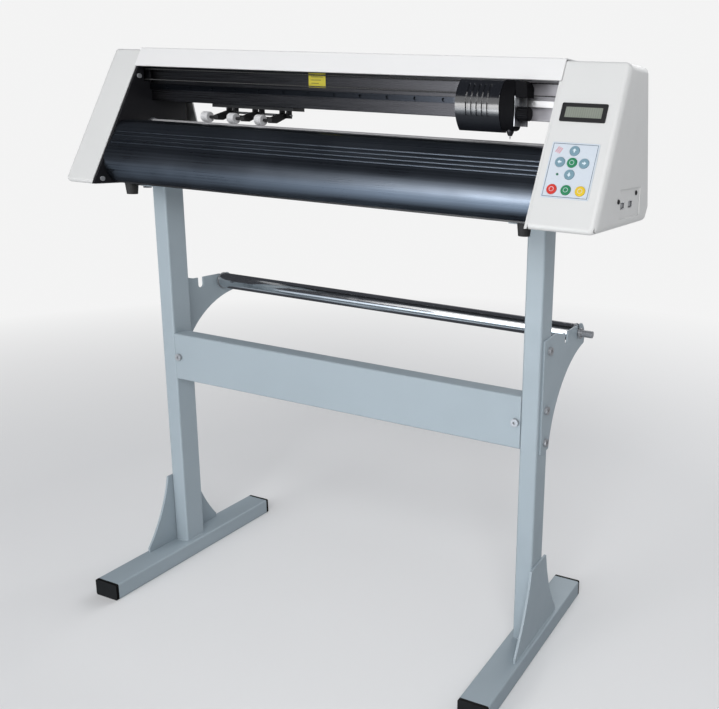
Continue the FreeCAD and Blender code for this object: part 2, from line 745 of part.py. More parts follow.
def pinch_bracket():
    """Bar under the carriage beam with lugs that hold the hinge rod."""
    left = WHEEL_XS[0] - 4
    points = [
        V(left, PINCH_BAR_FRONT, PINCH_BAR_LOW),
        V(left, PINCH_BAR_REAR, PINCH_BAR_LOW),
        V(PINCH_RIGHT - 6, PINCH_BAR_REAR, PINCH_BAR_LOW),
        V(PINCH_RIGHT, PINCH_BAR_FRONT, PINCH_BAR_LOW),
    ]
    points.append(points[0])
    bar = Part.Face(Part.makePolygon(points)).extrude(V(0, 0, RAIL_BEAM_LOW - PINCH_BAR_LOW))
    lugs = []
    for x in WHEEL_XS:
        for lug_x in (x + 14, x + 28):
            lugs.append(box(lug_x, lug_x + 4, HINGE_Y - 5, HINGE_Y + 5, HINGE_Z - 5, PINCH_BAR_LOW))
    hole = rod_x(HINGE_R + 0.01, left - 1, PINCH_RIGHT, HINGE_Y, HINGE_Z)
    return fuse([bar] + lugs).cut(hole)


def pinch_hinge_rod():
    return rod_x(HINGE_R, WHEEL_XS[0] + 12, WHEEL_XS[2] + 36, HINGE_Y, HINGE_Z)


def pinch_arms():
    """Swinging arms that press the white wheels on the feed roller, joined by a lift bar."""
    shapes = []
    for x in WHEEL_XS:
        arm_points = [(-4, WHEEL_Z - 4), (-4, WHEEL_Z + 4), (26, HINGE_Z + 3.5), (38, HINGE_Z + 3.5),
                      (38, HINGE_Z - 4), (30, HINGE_Z - 5), (8, WHEEL_Z - 4)]
        shapes.append(prism(arm_points, x + 19, x + 27))
        shapes.append(rod_x(WHEEL_AXLE_R, x - 9, x + 20, 0, WHEEL_Z))
        shapes.append(rod_x(WHEEL_AXLE_R + 1.5, x - 9, x - 7.5, 0, WHEEL_Z))
    shapes.append(box(WHEEL_XS[0] + 19, WHEEL_XS[2] + 27, 15.0, 20.0, HINGE_Z - 9, HINGE_Z - 4))
    arms = fuse(shapes)
    hole = rod_x(HINGE_R + RUNNING, WHEEL_XS[0], PINCH_RIGHT, HINGE_Y, HINGE_Z)
    return arms.cut(hole)


def pinch_rollers():
    wheels = []
    for x in WHEEL_XS:
        wheel = rod_x(WHEEL_R, x - WHEEL_W / 2, x + WHEEL_W / 2, 0, WHEEL_Z)
        wheel = wheel.makeFillet(1.5, wheel.Edges[0:1] + wheel.Edges[2:3])
        wheels.append(wheel.cut(rod_x(WHEEL_AXLE_R + RUNNING, x - 10, x + 10, 0, WHEEL_Z)))
    return wheels


# ---------------------------------------------------------------- carriage drive
def carriage_beam():
    """Hollow extrusion that carries the rail."""
    return tube(PLATE_LEFT + END_GAP, PLATE_RIGHT - END_GAP, BEAM_FRONT, BEAM_REAR,
                RAIL_BEAM_LOW, RAIL_BEAM_HIGH, 3.0, 1.0, X_AXIS)


def linear_rail():
    rail = box(PLATE_LEFT + 4, PLATE_RIGHT - 4, RAIL_FRONT, BEAM_FRONT, RAIL_LOW, RAIL_HIGH)
    middle = (RAIL_LOW + RAIL_HIGH) / 2
    groove = 0.8
    tools = [rod_x(groove, PLATE_LEFT, PLATE_RIGHT, -1.0, z) for z in (RAIL_LOW, RAIL_HIGH)]
    spacing = 50.0
    count = 15
    for i in range(count):
        x = (i - (count - 1) / 2) * spacing
        tools.append(rod_y(2.8, RAIL_FRONT - 1, RAIL_FRONT + 2.5, x, middle))
    return cut(rail, tools)


def slide_block():
    """Bearing block that wraps the rail."""
    block = box(CAR_LEFT - 15, CAR_LEFT + 33, -13, BEAM_FRONT - 1.5, RAIL_LOW - 5, RAIL_HIGH + 5)
    channel = box(CAR_LEFT - 20, CAR_LEFT + 40, RAIL_FRONT - 0.1, BEAM_FRONT,
                  RAIL_LOW - 0.1, RAIL_HIGH + 0.1)
    return block.cut(channel)


def carriage_plate():
    """Back plate of the carriage with the belt clamp and the thin tool flange."""
    plate = box(CAR_LEFT, CAR_PLATE_END, -17, -13, 862, CAR_HIGH - 1)
    flange = box(FLANGE_X, FLANGE_X + FLANGE_T, -40, -17, 862, CAR_HIGH - 1)
    low, high = FLANGE_X - 1, FLANGE_X + FLANGE_T + 1
    flange_corner = box(low, high, -41, -30, CAR_HIGH - 22, CAR_HIGH)
    slot = box(low, high, TOOL_Y - 3.2, TOOL_Y + 3.2, KNOB_Z - 10, KNOB_Z + 4)
    clamp = box(280, 300, -13, -1, BELT_Z - BELT_R - 5, BELT_Z - BELT_R + 3)
    slit = box(279, 301, BELT_FRONT - 0.2, 0, BELT_Z - BELT_R - BELT_T - 0.3, BELT_Z - BELT_R + 0.2)
    return cut(fuse([plate, flange, clamp]), [flange_corner, slot, slit])


def carriage_face():
    """Side view of the carriage: flat back, short flat top and bottom, and one full curve in front."""
    low_front = V(0, -29, CAR_LOW)
    high_front = V(0, -25, CAR_HIGH)
    low_back = V(0, CAR_BACK, CAR_LOW)
    high_back = V(0, CAR_BACK, CAR_HIGH)
    edges = [
        Part.makeLine(low_back, low_front),
        Part.Arc(low_front, V(0, *CAR_FRONT), high_front).toShape(),
        Part.makeLine(high_front, high_back),
        Part.makeLine(high_back, low_back),
    ]
    return Part.Face(Part.Wire(edges))


def carriage_body(x0, x1):
    """Solid that the cover and the tool block are both cut from."""
    body = extrude_x(carriage_face(), x0, x1)
    return rounded(body, 4.0, lambda e: runs_along(e, X_AXIS) and e.CenterOfMass.y < CAR_BACK - 2)


def carriage_cover():
    """Hollow cover, open at the back, with upright ribs between grooves that follow its front."""
    wall = 2.8
    x0, x1 = CAR_LEFT + wall, CAR_RIGHT - wall
    core = extrude_x(carriage_face().makeOffset2D(-wall, join=2), x0, x1)
    back = box(x0, x1, CAR_BACK - wall - 1, CAR_BACK + 1, CAR_LOW + wall, CAR_HIGH - wall)
    groove_floor = carriage_face().makeOffset2D(-RIB_GROOVE, join=2)
    tools = [core, back]
    width = 3.6
    pitch = 8.6
    for i in range(5):
        x = CAR_LEFT + 17 + i * pitch
        slab = box(x, x + width, -60, CAR_BACK - 4, 874, CAR_HIGH - 8)
        tools.append(slab.cut(extrude_x(groove_floor, x - 1, x + width + 1)))
    return cut(carriage_body(CAR_LEFT, CAR_RIGHT), tools)


def tool_block():
    """Sliding block that grips the blade holder."""
    block = carriage_body(CAR_RIGHT + 1, TOOL_BLOCK_END)
    trim = box(CAR_RIGHT, TOOL_BLOCK_END + 1, -50, 0, CAR_LOW - 1, CAR_LOW + 3)
    block = block.cut(trim)
    block = rounded(block, 7.0, lambda e: abs(e.CenterOfMass.x - TOOL_BLOCK_END) < 0.01
                    and e.CenterOfMass.z < CAR_LOW + 3.1 and runs_along(e, Y_AXIS))
    bore = rod_z(TOOL_R + 0.02, CAR_LOW - 1, CAR_HIGH - 13.9, TOOL_X, TOOL_Y)
    stem = rod_x(2.5 + RUNNING, TOOL_X, TOOL_BLOCK_END + 1, TOOL_Y, KNOB_Z)
    block = cut(block, [bore, stem])
    block.translate(V(0, -0.1, 0))
    return block


def blade_holder():
    y = TOOL_Y - 0.1
    body = rod_z(TOOL_R, CAR_LOW + 2, CAR_HIGH - 14, TOOL_X, y)
    nose = Part.makeCone(3.0, TOOL_R, 6.0, V(TOOL_X, y, CAR_LOW - 4), Z_AXIS)
    bore = rod_z(1.02, CAR_LOW - 5, CAR_LOW + 12, TOOL_X, y)
    return body.fuse(nose).cut(bore)


def blade():
    y = TOOL_Y - 0.1
    shank = rod_z(1.0, CAR_LOW - 6, CAR_LOW + 10, TOOL_X, y)
    tip = Part.makeCone(0.15, 1.0, 3.0, V(TOOL_X, y, CAR_LOW - 9), Z_AXIS)
    return shank.fuse(tip)


def clamp_knob():
    """Knurled thumb screw that locks the blade holder."""
    y = TOOL_Y - 0.1
    knob = rod_x(KNOB_R, KNOB_X, CAR_END, y, KNOB_Z)
    knob = knob.makeFillet(1.5, [e for e in knob.Edges if abs(e.CenterOfMass.x - CAR_END) < 0.01])
    flutes = []
    for i in range(12):
        angle = i * math.pi / 6
        flute_y = y + (KNOB_R + 0.4) * math.cos(angle)
        flute_z = KNOB_Z + (KNOB_R + 0.4) * math.sin(angle)
        flutes.append(rod_x(1.4, KNOB_X - 1, CAR_END + 1, flute_y, flute_z))
    stem = rod_x(2.5, TOOL_X + TOOL_R + 0.3, KNOB_X + 0.2, y, KNOB_Z)
    return cut(knob, flutes).fuse(stem)


def solenoid():
    """Coil housing that lowers the tool."""
    can = box(KNOB_X, CAR_END, -40, CAR_BACK + 0.2, 902, CAR_HIGH - 0.5)
    return rounded(can, 12.0, lambda e: runs_along(e, Y_AXIS) and e.CenterOfMass.x > CAR_END - 1
                   and e.CenterOfMass.z > 910)


def drive_belt():
    """Belt loop round the two pulleys, in the plane of the beam's face."""
    loop = belt_loop(V(0, 0, 0), BELT_R, V(0, DRIVE_X - IDLER_X, 0), BELT_R, BELT_REAR - BELT_FRONT)
    loop.rotate(V(0, 0, 0), Z_AXIS, -90)
    loop.translate(V(IDLER_X, BELT_REAR, BELT_Z))
    return loop


def toothed_pulley(x, shaft_r, shaft_end):
    body = rod_y(BELT_R, BELT_FRONT - 0.5, BELT_REAR + 0.5, x, BELT_Z)
    front_flange = rod_y(BELT_R + 2.5, BELT_FRONT - 1.5, BELT_FRONT - 0.5, x, BELT_Z)
    shaft = rod_y(shaft_r, BELT_FRONT - 1.5, shaft_end, x, BELT_Z)
    return fuse([body, front_flange, shaft])


def carriage_motor():
    half = MOTOR / 2
    can = box(DRIVE_X - half, DRIVE_X + half, 8, 46, BELT_Z - half, BELT_Z + half)
    can = rounded(can, 5.0, lambda e: abs(e.BoundBox.YLength) > 10)
    return can.cut(rod_y(2.5 + RUNNING, 7, 22, DRIVE_X, BELT_Z))


# ---------------------------------------------------------------- electronics
def key_places():
    """Centre of each key on the panel, as (x, distance up the slope)."""
    s = KEY_CENTRE_S
    return {
        "key_up": (PANEL_X, s + KEY_PITCH),
        "key_down": (PANEL_X, s - KEY_PITCH),
        "key_left": (PANEL_X - KEY_PITCH, s),
        "key_right": (PANEL_X + KEY_PITCH, s),
        "key_centre": (PANEL_X, s),
        "key_red": (PANEL_X - KEY_ROW_STEP, KEY_ROW_S),
        "key_green": (PANEL_X, KEY_ROW_S),
        "key_yellow": (PANEL_X + KEY_ROW_STEP, KEY_ROW_S),
    }


def key_cap(x, s):
    cap = rod_z(KEY_R, KEY_BOTTOM, KEY_TOP, x, s)
    top_edge = [e for e in cap.Edges if abs(e.CenterOfMass.z - KEY_TOP) < 0.01]
    return panel(cap.makeFillet(0.8, top_edge))


def keypad_overlay():
    half = OVERLAY_W / 2
    sheet = box(PANEL_X - half, PANEL_X + half, OVERLAY_LOW_S, OVERLAY_HIGH_S, 0, OVERLAY_T)
    sheet = rounded(sheet, 2.5, lambda e: abs(e.BoundBox.ZLength) > 0.5)
    holes = [rod_z(KEY_R + KEY_HOLE_GAP, -1, 2, x, s) for x, s in key_places().values()]
    return panel(cut(sheet, holes))


def lcd_module():
    half_w, half_h = LCD_W / 2, LCD_H / 2
    bezel = box(PANEL_X - half_w, PANEL_X + half_w, LCD_S - half_h, LCD_S + half_h, 0, 1.4)
    bezel = rounded(bezel, 2.0, lambda e: abs(e.BoundBox.ZLength) > 0.5)
    body = box(PANEL_X - LCD_OPEN_W / 2, PANEL_X + LCD_OPEN_W / 2,
               LCD_S - LCD_OPEN_H / 2, LCD_S + LCD_OPEN_H / 2, -9, 0.5)
    window = box(PANEL_X - LCD_OPEN_W / 2 + 2, PANEL_X + LCD_OPEN_W / 2 - 2,
                 LCD_S - LCD_OPEN_H / 2 + 2, LCD_S + LCD_OPEN_H / 2 - 2, 0.5, 3)
    return panel(bezel.fuse(body).cut(window))


def control_board():
    board = box(478, 479.6, -50, 80, 750, 850)
    shapes = [board]
    for y, z in ((-44, 756), (74, 756), (-44, 844), (74, 844)):
        shapes.append(rod_x(3, 479.6, HEAD_RIGHT - COVER_WALL, y, z))
    for y, z, w, h, t in ((-20, 800, 24, 24, 3), (30, 820, 30, 14, 4), (20, 780, 16, 16, 9)):
        shapes.append(box(478 - t, 478, y, y + w, z, z + h))
    return fuse(shapes)


def power_supply():
    case = box(-446, -402, -60, 70, HEAD_LOW + COVER_WALL, 792)
    vents = [box(-447, -401, y, y + 3, 780, 786) for y in range(-50, 62, 8)]
    return cut(case, vents)


def power_inlet():
    flange = box(HEAD_LEFT - 1.5, HEAD_LEFT, 28, 60, 808, 836)
    body = box(HEAD_LEFT, HEAD_LEFT + 16, 30, 58, 810, 834)
    socket = box(HEAD_LEFT - 2, HEAD_LEFT + 12, 33, 55, 814, 830)
    pins = [box(HEAD_LEFT + 2, HEAD_LEFT + 13, y, y + 1.5, 820, 825) for y in (37, 43.3, 49.5)]
    return fuse([flange.fuse(body).cut(socket)] + pins)


def power_switch():
    """Rocker of the mains switch, tilted to off."""
    disc = rod_y(11.0, -6.6, 6.6, HEAD_LEFT + 6, 822)
    outer = HEAD_LEFT + 6 - 11
    valley = Part.makeCylinder(30, 16, V(outer - 28, -8, 822), Y_AXIS)
    rocker = disc.cut(valley)
    rocker.rotate(V(HEAD_LEFT + 6, 0, 822), Y_AXIS, -8)
    return rocker


# ---------------------------------------------------------------- output
def all_parts():
    parts = {
        "foot_tubes": [foot_tube(side) for side in SIDES],
        "foot_end_caps": foot_end_caps(),
        "posts": [post(side) for side in SIDES],
        "gusset_plates": [gusset_plate(side) for side in SIDES],
        "cross_beam": cross_beam(),
        "beam_brackets": [beam_bracket(side) for side in SIDES],
        "roll_arms": [roll_arm(side) for side in SIDES],
        "stand_bolts": stand_bolts(),
        "roll_shaft": roll_shaft(),
        "roll_end_plugs": [roll_end_plug(side) for side in SIDES],
        "head_plates": [head_plate(side) for side in SIDES],
        "rubber_feet": rubber_feet(),
        "base_pan": base_pan(),
        "left_side_plate": left_side_plate(),
        "right_side_plate": right_side_plate(),
        "cover_screws": cover_screws(),
        "left_cover": left_cover(),
        "right_cover": right_cover(),
        "top_cover": top_cover(),
        "platen": platen(),
        "rear_platen": rear_platen(),
        "cutting_strip": cutting_strip(),
        "feed_shaft": feed_shaft(),
        "feed_bearings": feed_bearings(),
        "feed_pulley": feed_pulley(),
        "feed_belt": feed_belt(),
        "feed_motor": feed_motor(),
        "feed_motor_pinion": feed_motor_pinion(),
        "pinch_bracket": pinch_bracket(),
        "pinch_hinge_rod": pinch_hinge_rod(),
        "pinch_arms": pinch_arms(),
        "pinch_rollers": pinch_rollers(),
        "carriage_beam": carriage_beam(),
        "linear_rail": linear_rail(),
        "slide_block": slide_block(),
        "carriage_plate": carriage_plate(),
        "carriage_cover": carriage_cover(),
        "tool_block": tool_block(),
        "blade_holder": blade_holder(),
        "blade": blade(),
        "clamp_knob": clamp_knob(),
        "solenoid": solenoid(),
        "drive_belt": drive_belt(),
        "drive_pulley": toothed_pulley(DRIVE_X, 2.5, 20),
        "idler_pulley": toothed_pulley(IDLER_X, 3.0, 6),
        "carriage_motor": carriage_motor(),
        "lcd_module": lcd_module(),
        "keypad_overlay": keypad_overlay(),
        "control_board": control_board(),
        "power_supply": power_supply(),
        "power_inlet": power_inlet(),
        "power_switch": power_switch(),
    }
    for name, (x, s) in key_places().items():
        parts[name] = key_cap(x, s)
    return parts


os.makedirs("parts", exist_ok=True)
for node, shape in all_parts().items():
    if isinstance(shape, list):
        shape = Part.Compound(shape)
    shape.translate(V(-MACHINE_MIDDLE_X, 0, 0))
    shape.exportStep(os.path.join("parts", node + ".step"))
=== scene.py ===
import json
import math

import bmesh
import bpy
from mathutils import Matrix, Vector


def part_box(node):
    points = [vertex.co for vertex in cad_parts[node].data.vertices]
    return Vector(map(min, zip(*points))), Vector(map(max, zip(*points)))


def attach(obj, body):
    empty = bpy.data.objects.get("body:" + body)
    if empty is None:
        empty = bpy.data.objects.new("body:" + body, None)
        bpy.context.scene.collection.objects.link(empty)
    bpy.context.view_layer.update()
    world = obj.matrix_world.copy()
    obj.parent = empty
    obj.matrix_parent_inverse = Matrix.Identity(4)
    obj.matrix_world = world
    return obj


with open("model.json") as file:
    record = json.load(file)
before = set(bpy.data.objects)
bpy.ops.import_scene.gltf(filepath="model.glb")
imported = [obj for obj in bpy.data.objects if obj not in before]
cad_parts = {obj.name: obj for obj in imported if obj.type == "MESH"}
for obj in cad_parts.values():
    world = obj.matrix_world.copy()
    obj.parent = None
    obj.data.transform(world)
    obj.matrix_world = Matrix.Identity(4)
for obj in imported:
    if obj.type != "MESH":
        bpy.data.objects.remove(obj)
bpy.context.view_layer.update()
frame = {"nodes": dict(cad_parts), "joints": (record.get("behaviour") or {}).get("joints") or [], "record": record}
MM = 0.001
ROOT = "root"
MATERIALS = {part["node"]: part["material_slot"] for part in frame["record"]["subparts"]}

# Colours, as linear red, green and blue
BACKGROUND = (0.90, 0.90, 0.90)
STAND_BLUE = (0.325, 0.385, 0.425)
SKY_FILL = (0.38, 0.39, 0.41)
SKY_MIRRORED = (0.055, 0.058, 0.066)
REAR_MIRRORED = (0.50, 0.50, 0.52)
FLOOR_MIRRORED = (2.3, 2.6, 2.9)

# Places where a finish or its painted light and shade changes, in metres
# painted light: where the beam and rail turn from a dark painted reflection to pale painted light
BEAM_PAINTED_LIGHT_TURN = (0.20, 0.34)  # along X
# painted shade: below this band the carriage cover loses its gloss and stays dark
COVER_PAINTED_SHADE_TO_GLOSS = (0.874, 0.886)  # up Z
CARRIAGE_PLATE_FRONT = -0.0171  # on Y
FLOOR_FADE = (0.9, 2.6)  # outwards from the middle of the floor

# Glows seen only in reflections: an axis of the view direction, where it is dark and where it is bright
REAR_GLOW = ("Y", 0.70, 0.96)
FLOOR_GLOW = (
    ("X", -0.74, -0.42),
    ("X", 0.10, -0.20),
    ("Y", -0.15, -0.35),
    ("Z", -0.02, -0.22),
    ("Z", -0.85, -0.55),
)

# Studio: name, place, side of the square and power of each light
LIGHTS = (
    ("key_light", (1.25, -2.4, 2.2), 1.6, 49.0),
    ("fill_light", (-1.3, -2.9, 1.7), 1.6, 8.0),
    ("front_panel", (-0.8, -2.5, 0.75), 1.0, 13.0),
    ("low_panel", (-0.7, -2.3, 0.28), 0.5, 5.0),
    ("rear_light", (0.3, 2.8, 2.2), 2.0, 34.0),
)
LIGHT_AIM = Vector((0.0, 0.0, 0.6))
FLOOR_HALF = 14.0

# Camera
CAMERA_PLACE = Vector((0.8246, -1.074, 0.866))
CAMERA_YAW = 0.3442
CAMERA_PITCH = -0.2250
CAMERA_ROLL = 0.0562
CAMERA_LENS = 39.33
CAMERA_SHIFT = (-0.3235, -0.0648)


# ---------------------------------------------------------------- node materials
class Nodes:
    """A node tree with short ways to add and join nodes."""

    def __init__(self, tree):
        self.tree = tree

    def node(self, kind, **settings):
        made = self.tree.nodes.new(kind)
        for key, value in settings.items():
            setattr(made, key, value)
        return made

    def put(self, value, socket):
        if isinstance(value, bpy.types.NodeSocket):
            self.tree.links.new(value, socket)
        elif isinstance(value, tuple) and len(value) == 3 and socket.type == "RGBA":
            socket.default_value = (*value, 1.0)
        else:
            socket.default_value = value

    def axes(self, vector):
        """The X, Y and Z outputs of a vector."""
        node = self.node("ShaderNodeSeparateXYZ")
        self.put(vector, node.inputs["Vector"])
        return node.outputs

    def span(self, value, low, high, start, end):
        """Carry values from low to high over to start to end, and hold them beyond."""
        node = self.node("ShaderNodeMapRange")
        self.put(value, node.inputs["Value"])
        node.inputs["From Min"].default_value = low
        node.inputs["From Max"].default_value = high
        node.inputs["To Min"].default_value = start
        node.inputs["To Max"].default_value = end
        return node.outputs["Result"]

    def maths(self, operation, first, second):
        node = self.node("ShaderNodeMath", operation=operation)
        self.put(first, node.inputs[0])
        self.put(second, node.inputs[1])
        return node.outputs["Value"]

    def mix(self, amount, first, second):
        node = self.node("ShaderNodeMix", data_type="RGBA")
        self.put(amount, node.inputs["Factor"])
        self.put(first, node.inputs[6])
        self.put(second, node.inputs[7])
        return node.outputs[2]


class Finish(Nodes):
    """One procedural material. Its coordinates are the object's own, in metres."""

    def __init__(self, name):
        self.material = bpy.data.materials.new(name)
        self.material.use_nodes = True
        super().__init__(self.material.node_tree)
        self.shader = self.tree.nodes["Principled BSDF"]
        self.place = self.node("ShaderNodeTexCoord").outputs["Object"]

    def set(self, **inputs):
        for key, value in inputs.items():
            self.put(value, self.shader.inputs[key.replace("_", " ")])

    def stretched(self, x, y, z):
        node = self.node("ShaderNodeMapping")
        node.inputs["Scale"].default_value = (x, y, z)
        self.put(self.place, node.inputs["Vector"])
        return node.outputs["Vector"]

    def noise(self, scale, detail=2.0, vector=None):
        node = self.node("ShaderNodeTexNoise")
        node.inputs["Scale"].default_value = scale
        node.inputs["Detail"].default_value = detail
        self.put(vector or self.place, node.inputs["Vector"])
        return node.outputs["Fac"]

    def wave(self, scale, direction="X", distortion=0.0, vector=None):
        node = self.node("ShaderNodeTexWave", bands_direction=direction)
        node.inputs["Scale"].default_value = scale
        node.inputs["Distortion"].default_value = distortion
        self.put(vector or self.place, node.inputs["Vector"])
        return node.outputs["Fac"]

    def cells(self, scale, vector=None):
        node = self.node("ShaderNodeTexVoronoi")
        node.inputs["Scale"].default_value = scale
        self.put(vector or self.place, node.inputs["Vector"])
        return node.outputs["Distance"]

    def soft_normal(self, radius):
        node = self.node("ShaderNodeBevel", samples=4)
        node.inputs["Radius"].default_value = radius
        return node.outputs["Normal"]

    def edges(self, radius):
        """0 on flat faces, rising to 1 on corners and worn edges."""
        dot = self.node("ShaderNodeVectorMath", operation="DOT_PRODUCT")
        flat = self.node("ShaderNodeNewGeometry").outputs["Normal"]
        self.put(self.soft_normal(radius), dot.inputs[0])
        self.put(flat, dot.inputs[1])
        return self.span(dot.outputs["Value"], 0.99, 0.88, 0.0, 1.0)

    def bump(self, height, depth, strength=0.5, normal=None):
        node = self.node("ShaderNodeBump")
        node.inputs["Strength"].default_value = strength
        node.inputs["Distance"].default_value = depth
        self.put(height, node.inputs["Height"])
        if normal is not None:
            self.put(normal, node.inputs["Normal"])
        return node.outputs["Normal"]


def shade(colour, factor):
    return tuple(min(1.0, c * factor) for c in colour)


def coated(name, colour, rough, grain=900.0, depth=0.00012, edge=1.25, corner=0.0009, drift=0.06,
           specular=0.5, coat=0.0):
    """Paint or moulded plastic: fine surface grain, slight colour drift, paler corners."""
    f = Finish(name)
    cloud = f.noise(7.0, 4.0)
    fine = f.noise(grain, 3.0)
    base = f.mix(cloud, shade(colour, 1.0 - drift), shade(colour, 1.0 + drift))
    speck = f.span(fine, 0.35, 0.65, 0.0, 0.35)
    base = f.mix(speck, base, shade(colour, 1.0 - drift * 1.5))
    worn = f.maths("MULTIPLY", f.edges(corner), f.span(f.noise(60.0), 0.35, 0.6, 0.3, 1.0))
    base = f.mix(worn, base, shade(colour, edge))
    smear = f.noise(25.0, 3.0)
    f.set(Base_Color=base, Roughness=f.span(smear, 0.3, 0.7, rough - 0.06, rough + 0.08),
          Specular_IOR_Level=specular, Coat_Weight=coat, Coat_Roughness=0.08)
    f.set(Normal=f.bump(fine, depth, 0.35, f.soft_normal(corner)))
    return f.material


def brushed(name, colour, rough, along="X", metal=1.0):
    """Metal with fine drawn lines along one axis."""
    f = Finish(name)
    scales = {"X": (12, 1400, 1400), "Y": (1400, 12, 1400), "Z": (1400, 1400, 12)}[along]
    lines = f.noise(1.0, 4.0, f.stretched(*scales))
    cloud = f.noise(18.0, 3.0)
    base = f.mix(lines, shade(colour, 0.82), shade(colour, 1.08))
    base = f.mix(f.edges(0.0006), base, shade(colour, 1.3))
    f.set(Base_Color=base, Metallic=metal)
    f.set(Roughness=f.maths("ADD", f.span(lines, 0.3, 0.7, rough - 0.05, rough + 0.07),
                            f.span(cloud, 0.3, 0.7, -0.03, 0.05)))
    f.set(Normal=f.bump(lines, 0.00004, 0.4, f.soft_normal(0.0006)))
    return f.material


def anodised(name, colour, rough, metal=0.25, specular=0.8):
    """Black anodised extrusion: die lines along X and faint handling marks."""
    f = Finish(name)
    lines = f.noise(1.0, 3.0, f.stretched(1.5, 700, 700))
    marks = f.noise(14.0, 5.0)
    base = f.mix(lines, shade(colour, 0.7), shade(colour, 1.35))
    base = f.mix(f.edges(0.0007), base, (0.12, 0.12, 0.13))
    f.set(Base_Color=base, Metallic=metal, Specular_IOR_Level=specular)
    f.set(Roughness=f.maths("ADD", f.span(lines, 0.3, 0.7, rough - 0.03, rough + 0.05),
                            f.span(marks, 0.35, 0.7, 0.0, 0.08)))
    f.set(Normal=f.bump(lines, 0.00003, 0.35, f.soft_normal(0.0007)))
    return f.material


def polished_tube():
    f = Finish("polished_tube")
    draw = f.noise(1.0, 2.0, f.stretched(3, 260, 260))
    spots = f.noise(40.0, 4.0)
    base = f.mix(spots, (0.62, 0.63, 0.65), (0.78, 0.79, 0.80))
    f.set(Base_Color=base, Metallic=1.0)
    f.set(Roughness=f.maths("ADD", f.span(draw, 0.3, 0.7, 0.09, 0.15), f.span(spots, 0.45, 0.7, 0.0, 0.05)))
    f.set(Normal=f.bump(draw, 0.00003, 0.25))
    return f.material


def knurled_steel():
    """Steel roller with fine crossed knurling."""
    f = Finish("knurled_steel")
    along = f.wave(420.0, "X")
    across = f.wave(420.0, "Z")
    grit = f.maths("MULTIPLY", along, across)
    base = f.mix(grit, (0.50, 0.50, 0.51), (0.82, 0.82, 0.83))
    f.set(Base_Color=base, Metallic=0.2, Roughness=f.span(grit, 0.0, 1.0, 0.42, 0.26))
    f.set(Normal=f.bump(grit, 0.0002, 0.5))
    return f.material


def soft_rubber(name, colour, rough):
    f = Finish(name)
    pores = f.noise(1600.0, 3.0)
    dust = f.noise(30.0, 5.0)
    base = f.mix(f.span(dust, 0.5, 0.75, 0.0, 0.35), colour, shade(colour, 1.6))
    f.set(Base_Color=base, Roughness=f.span(pores, 0.3, 0.7, rough - 0.06, rough + 0.06))
    f.set(Normal=f.bump(pores, 0.0001, 0.4, f.soft_normal(0.0008)))
    return f.material


def toothed_belt():
    """Rubber belt with moulded ribs across it."""
    f = Finish("toothed_belt")
    ribs = f.wave(63.0, "X")
    pores = f.noise(1500.0, 2.0)
    base = f.mix(ribs, (0.012, 0.012, 0.012), (0.05, 0.05, 0.05))
    f.set(Base_Color=base, Roughness=f.span(pores, 0.3, 0.7, 0.6, 0.8))
    f.set(Normal=f.bump(ribs, 0.0006, 0.6))
    return f.material


def motor_case():
    """Painted motor with a stack of thin steel laminations."""
    f = Finish("motor_case")
    stack = f.wave(160.0, "Y")
    grime = f.noise(50.0, 4.0)
    base = f.mix(grime, (0.015, 0.015, 0.016), (0.04, 0.04, 0.042))
    f.set(Base_Color=base, Metallic=0.4, Roughness=f.span(grime, 0.3, 0.7, 0.35, 0.5))
    f.set(Normal=f.bump(stack, 0.0003, 0.5, f.soft_normal(0.0008)))
    return f.material


def circuit_board():
    f = Finish("circuit_board")
    tracks = f.node("ShaderNodeTexBrick")
    tracks.inputs["Scale"].default_value = 180.0
    tracks.inputs["Mortar Size"].default_value = 0.03
    f.put(f.place, tracks.inputs["Vector"])
    base = f.mix(tracks.outputs["Fac"], (0.02, 0.16, 0.07), (0.05, 0.30, 0.14))
    pads = f.span(f.cells(260.0), 0.12, 0.10, 0.0, 1.0)
    base = f.mix(pads, base, (0.55, 0.50, 0.35))
    f.set(Base_Color=base, Roughness=f.span(pads, 0.0, 1.0, 0.45, 0.25))
    f.set(Normal=f.bump(tracks.outputs["Fac"], 0.0001, 0.4))
    return f.material


def display_pane():
    """Grey-green liquid crystal pane with its faint grid of character cells."""
    f = Finish("display_pane")
    columns = f.span(f.wave(95.0, "X"), 0.05, 0.25, 0.0, 1.0)
    haze = f.noise(30.0, 3.0)
    base = f.mix(haze, (0.20, 0.22, 0.19), (0.26, 0.28, 0.24))
    base = f.mix(f.span(columns, 0.0, 1.0, 0.35, 0.0), base, (0.11, 0.13, 0.11))
    f.set(Base_Color=base, Roughness=f.span(haze, 0.3, 0.7, 0.10, 0.16))
    f.set(Coat_Weight=0.6, Coat_Roughness=0.05)
    return f.material


def printed_film(name, colour, rough=0.38):
    """Printed plastic film: a faint dot screen under a satin top coat."""
    f = Finish(name)
    dots = f.span(f.cells(1500.0), 0.25, 0.45, 0.0, 1.0)
    haze = f.noise(35.0, 3.0)
    base = f.mix(dots, shade(colour, 0.94), shade(colour, 1.05))
    f.set(Base_Color=base, Roughness=f.span(haze, 0.3, 0.7, rough - 0.05, rough + 0.08))
    f.set(Normal=f.bump(f.noise(900.0, 3.0), 0.00006, 0.3, f.soft_normal(0.0004)))
    return f.material


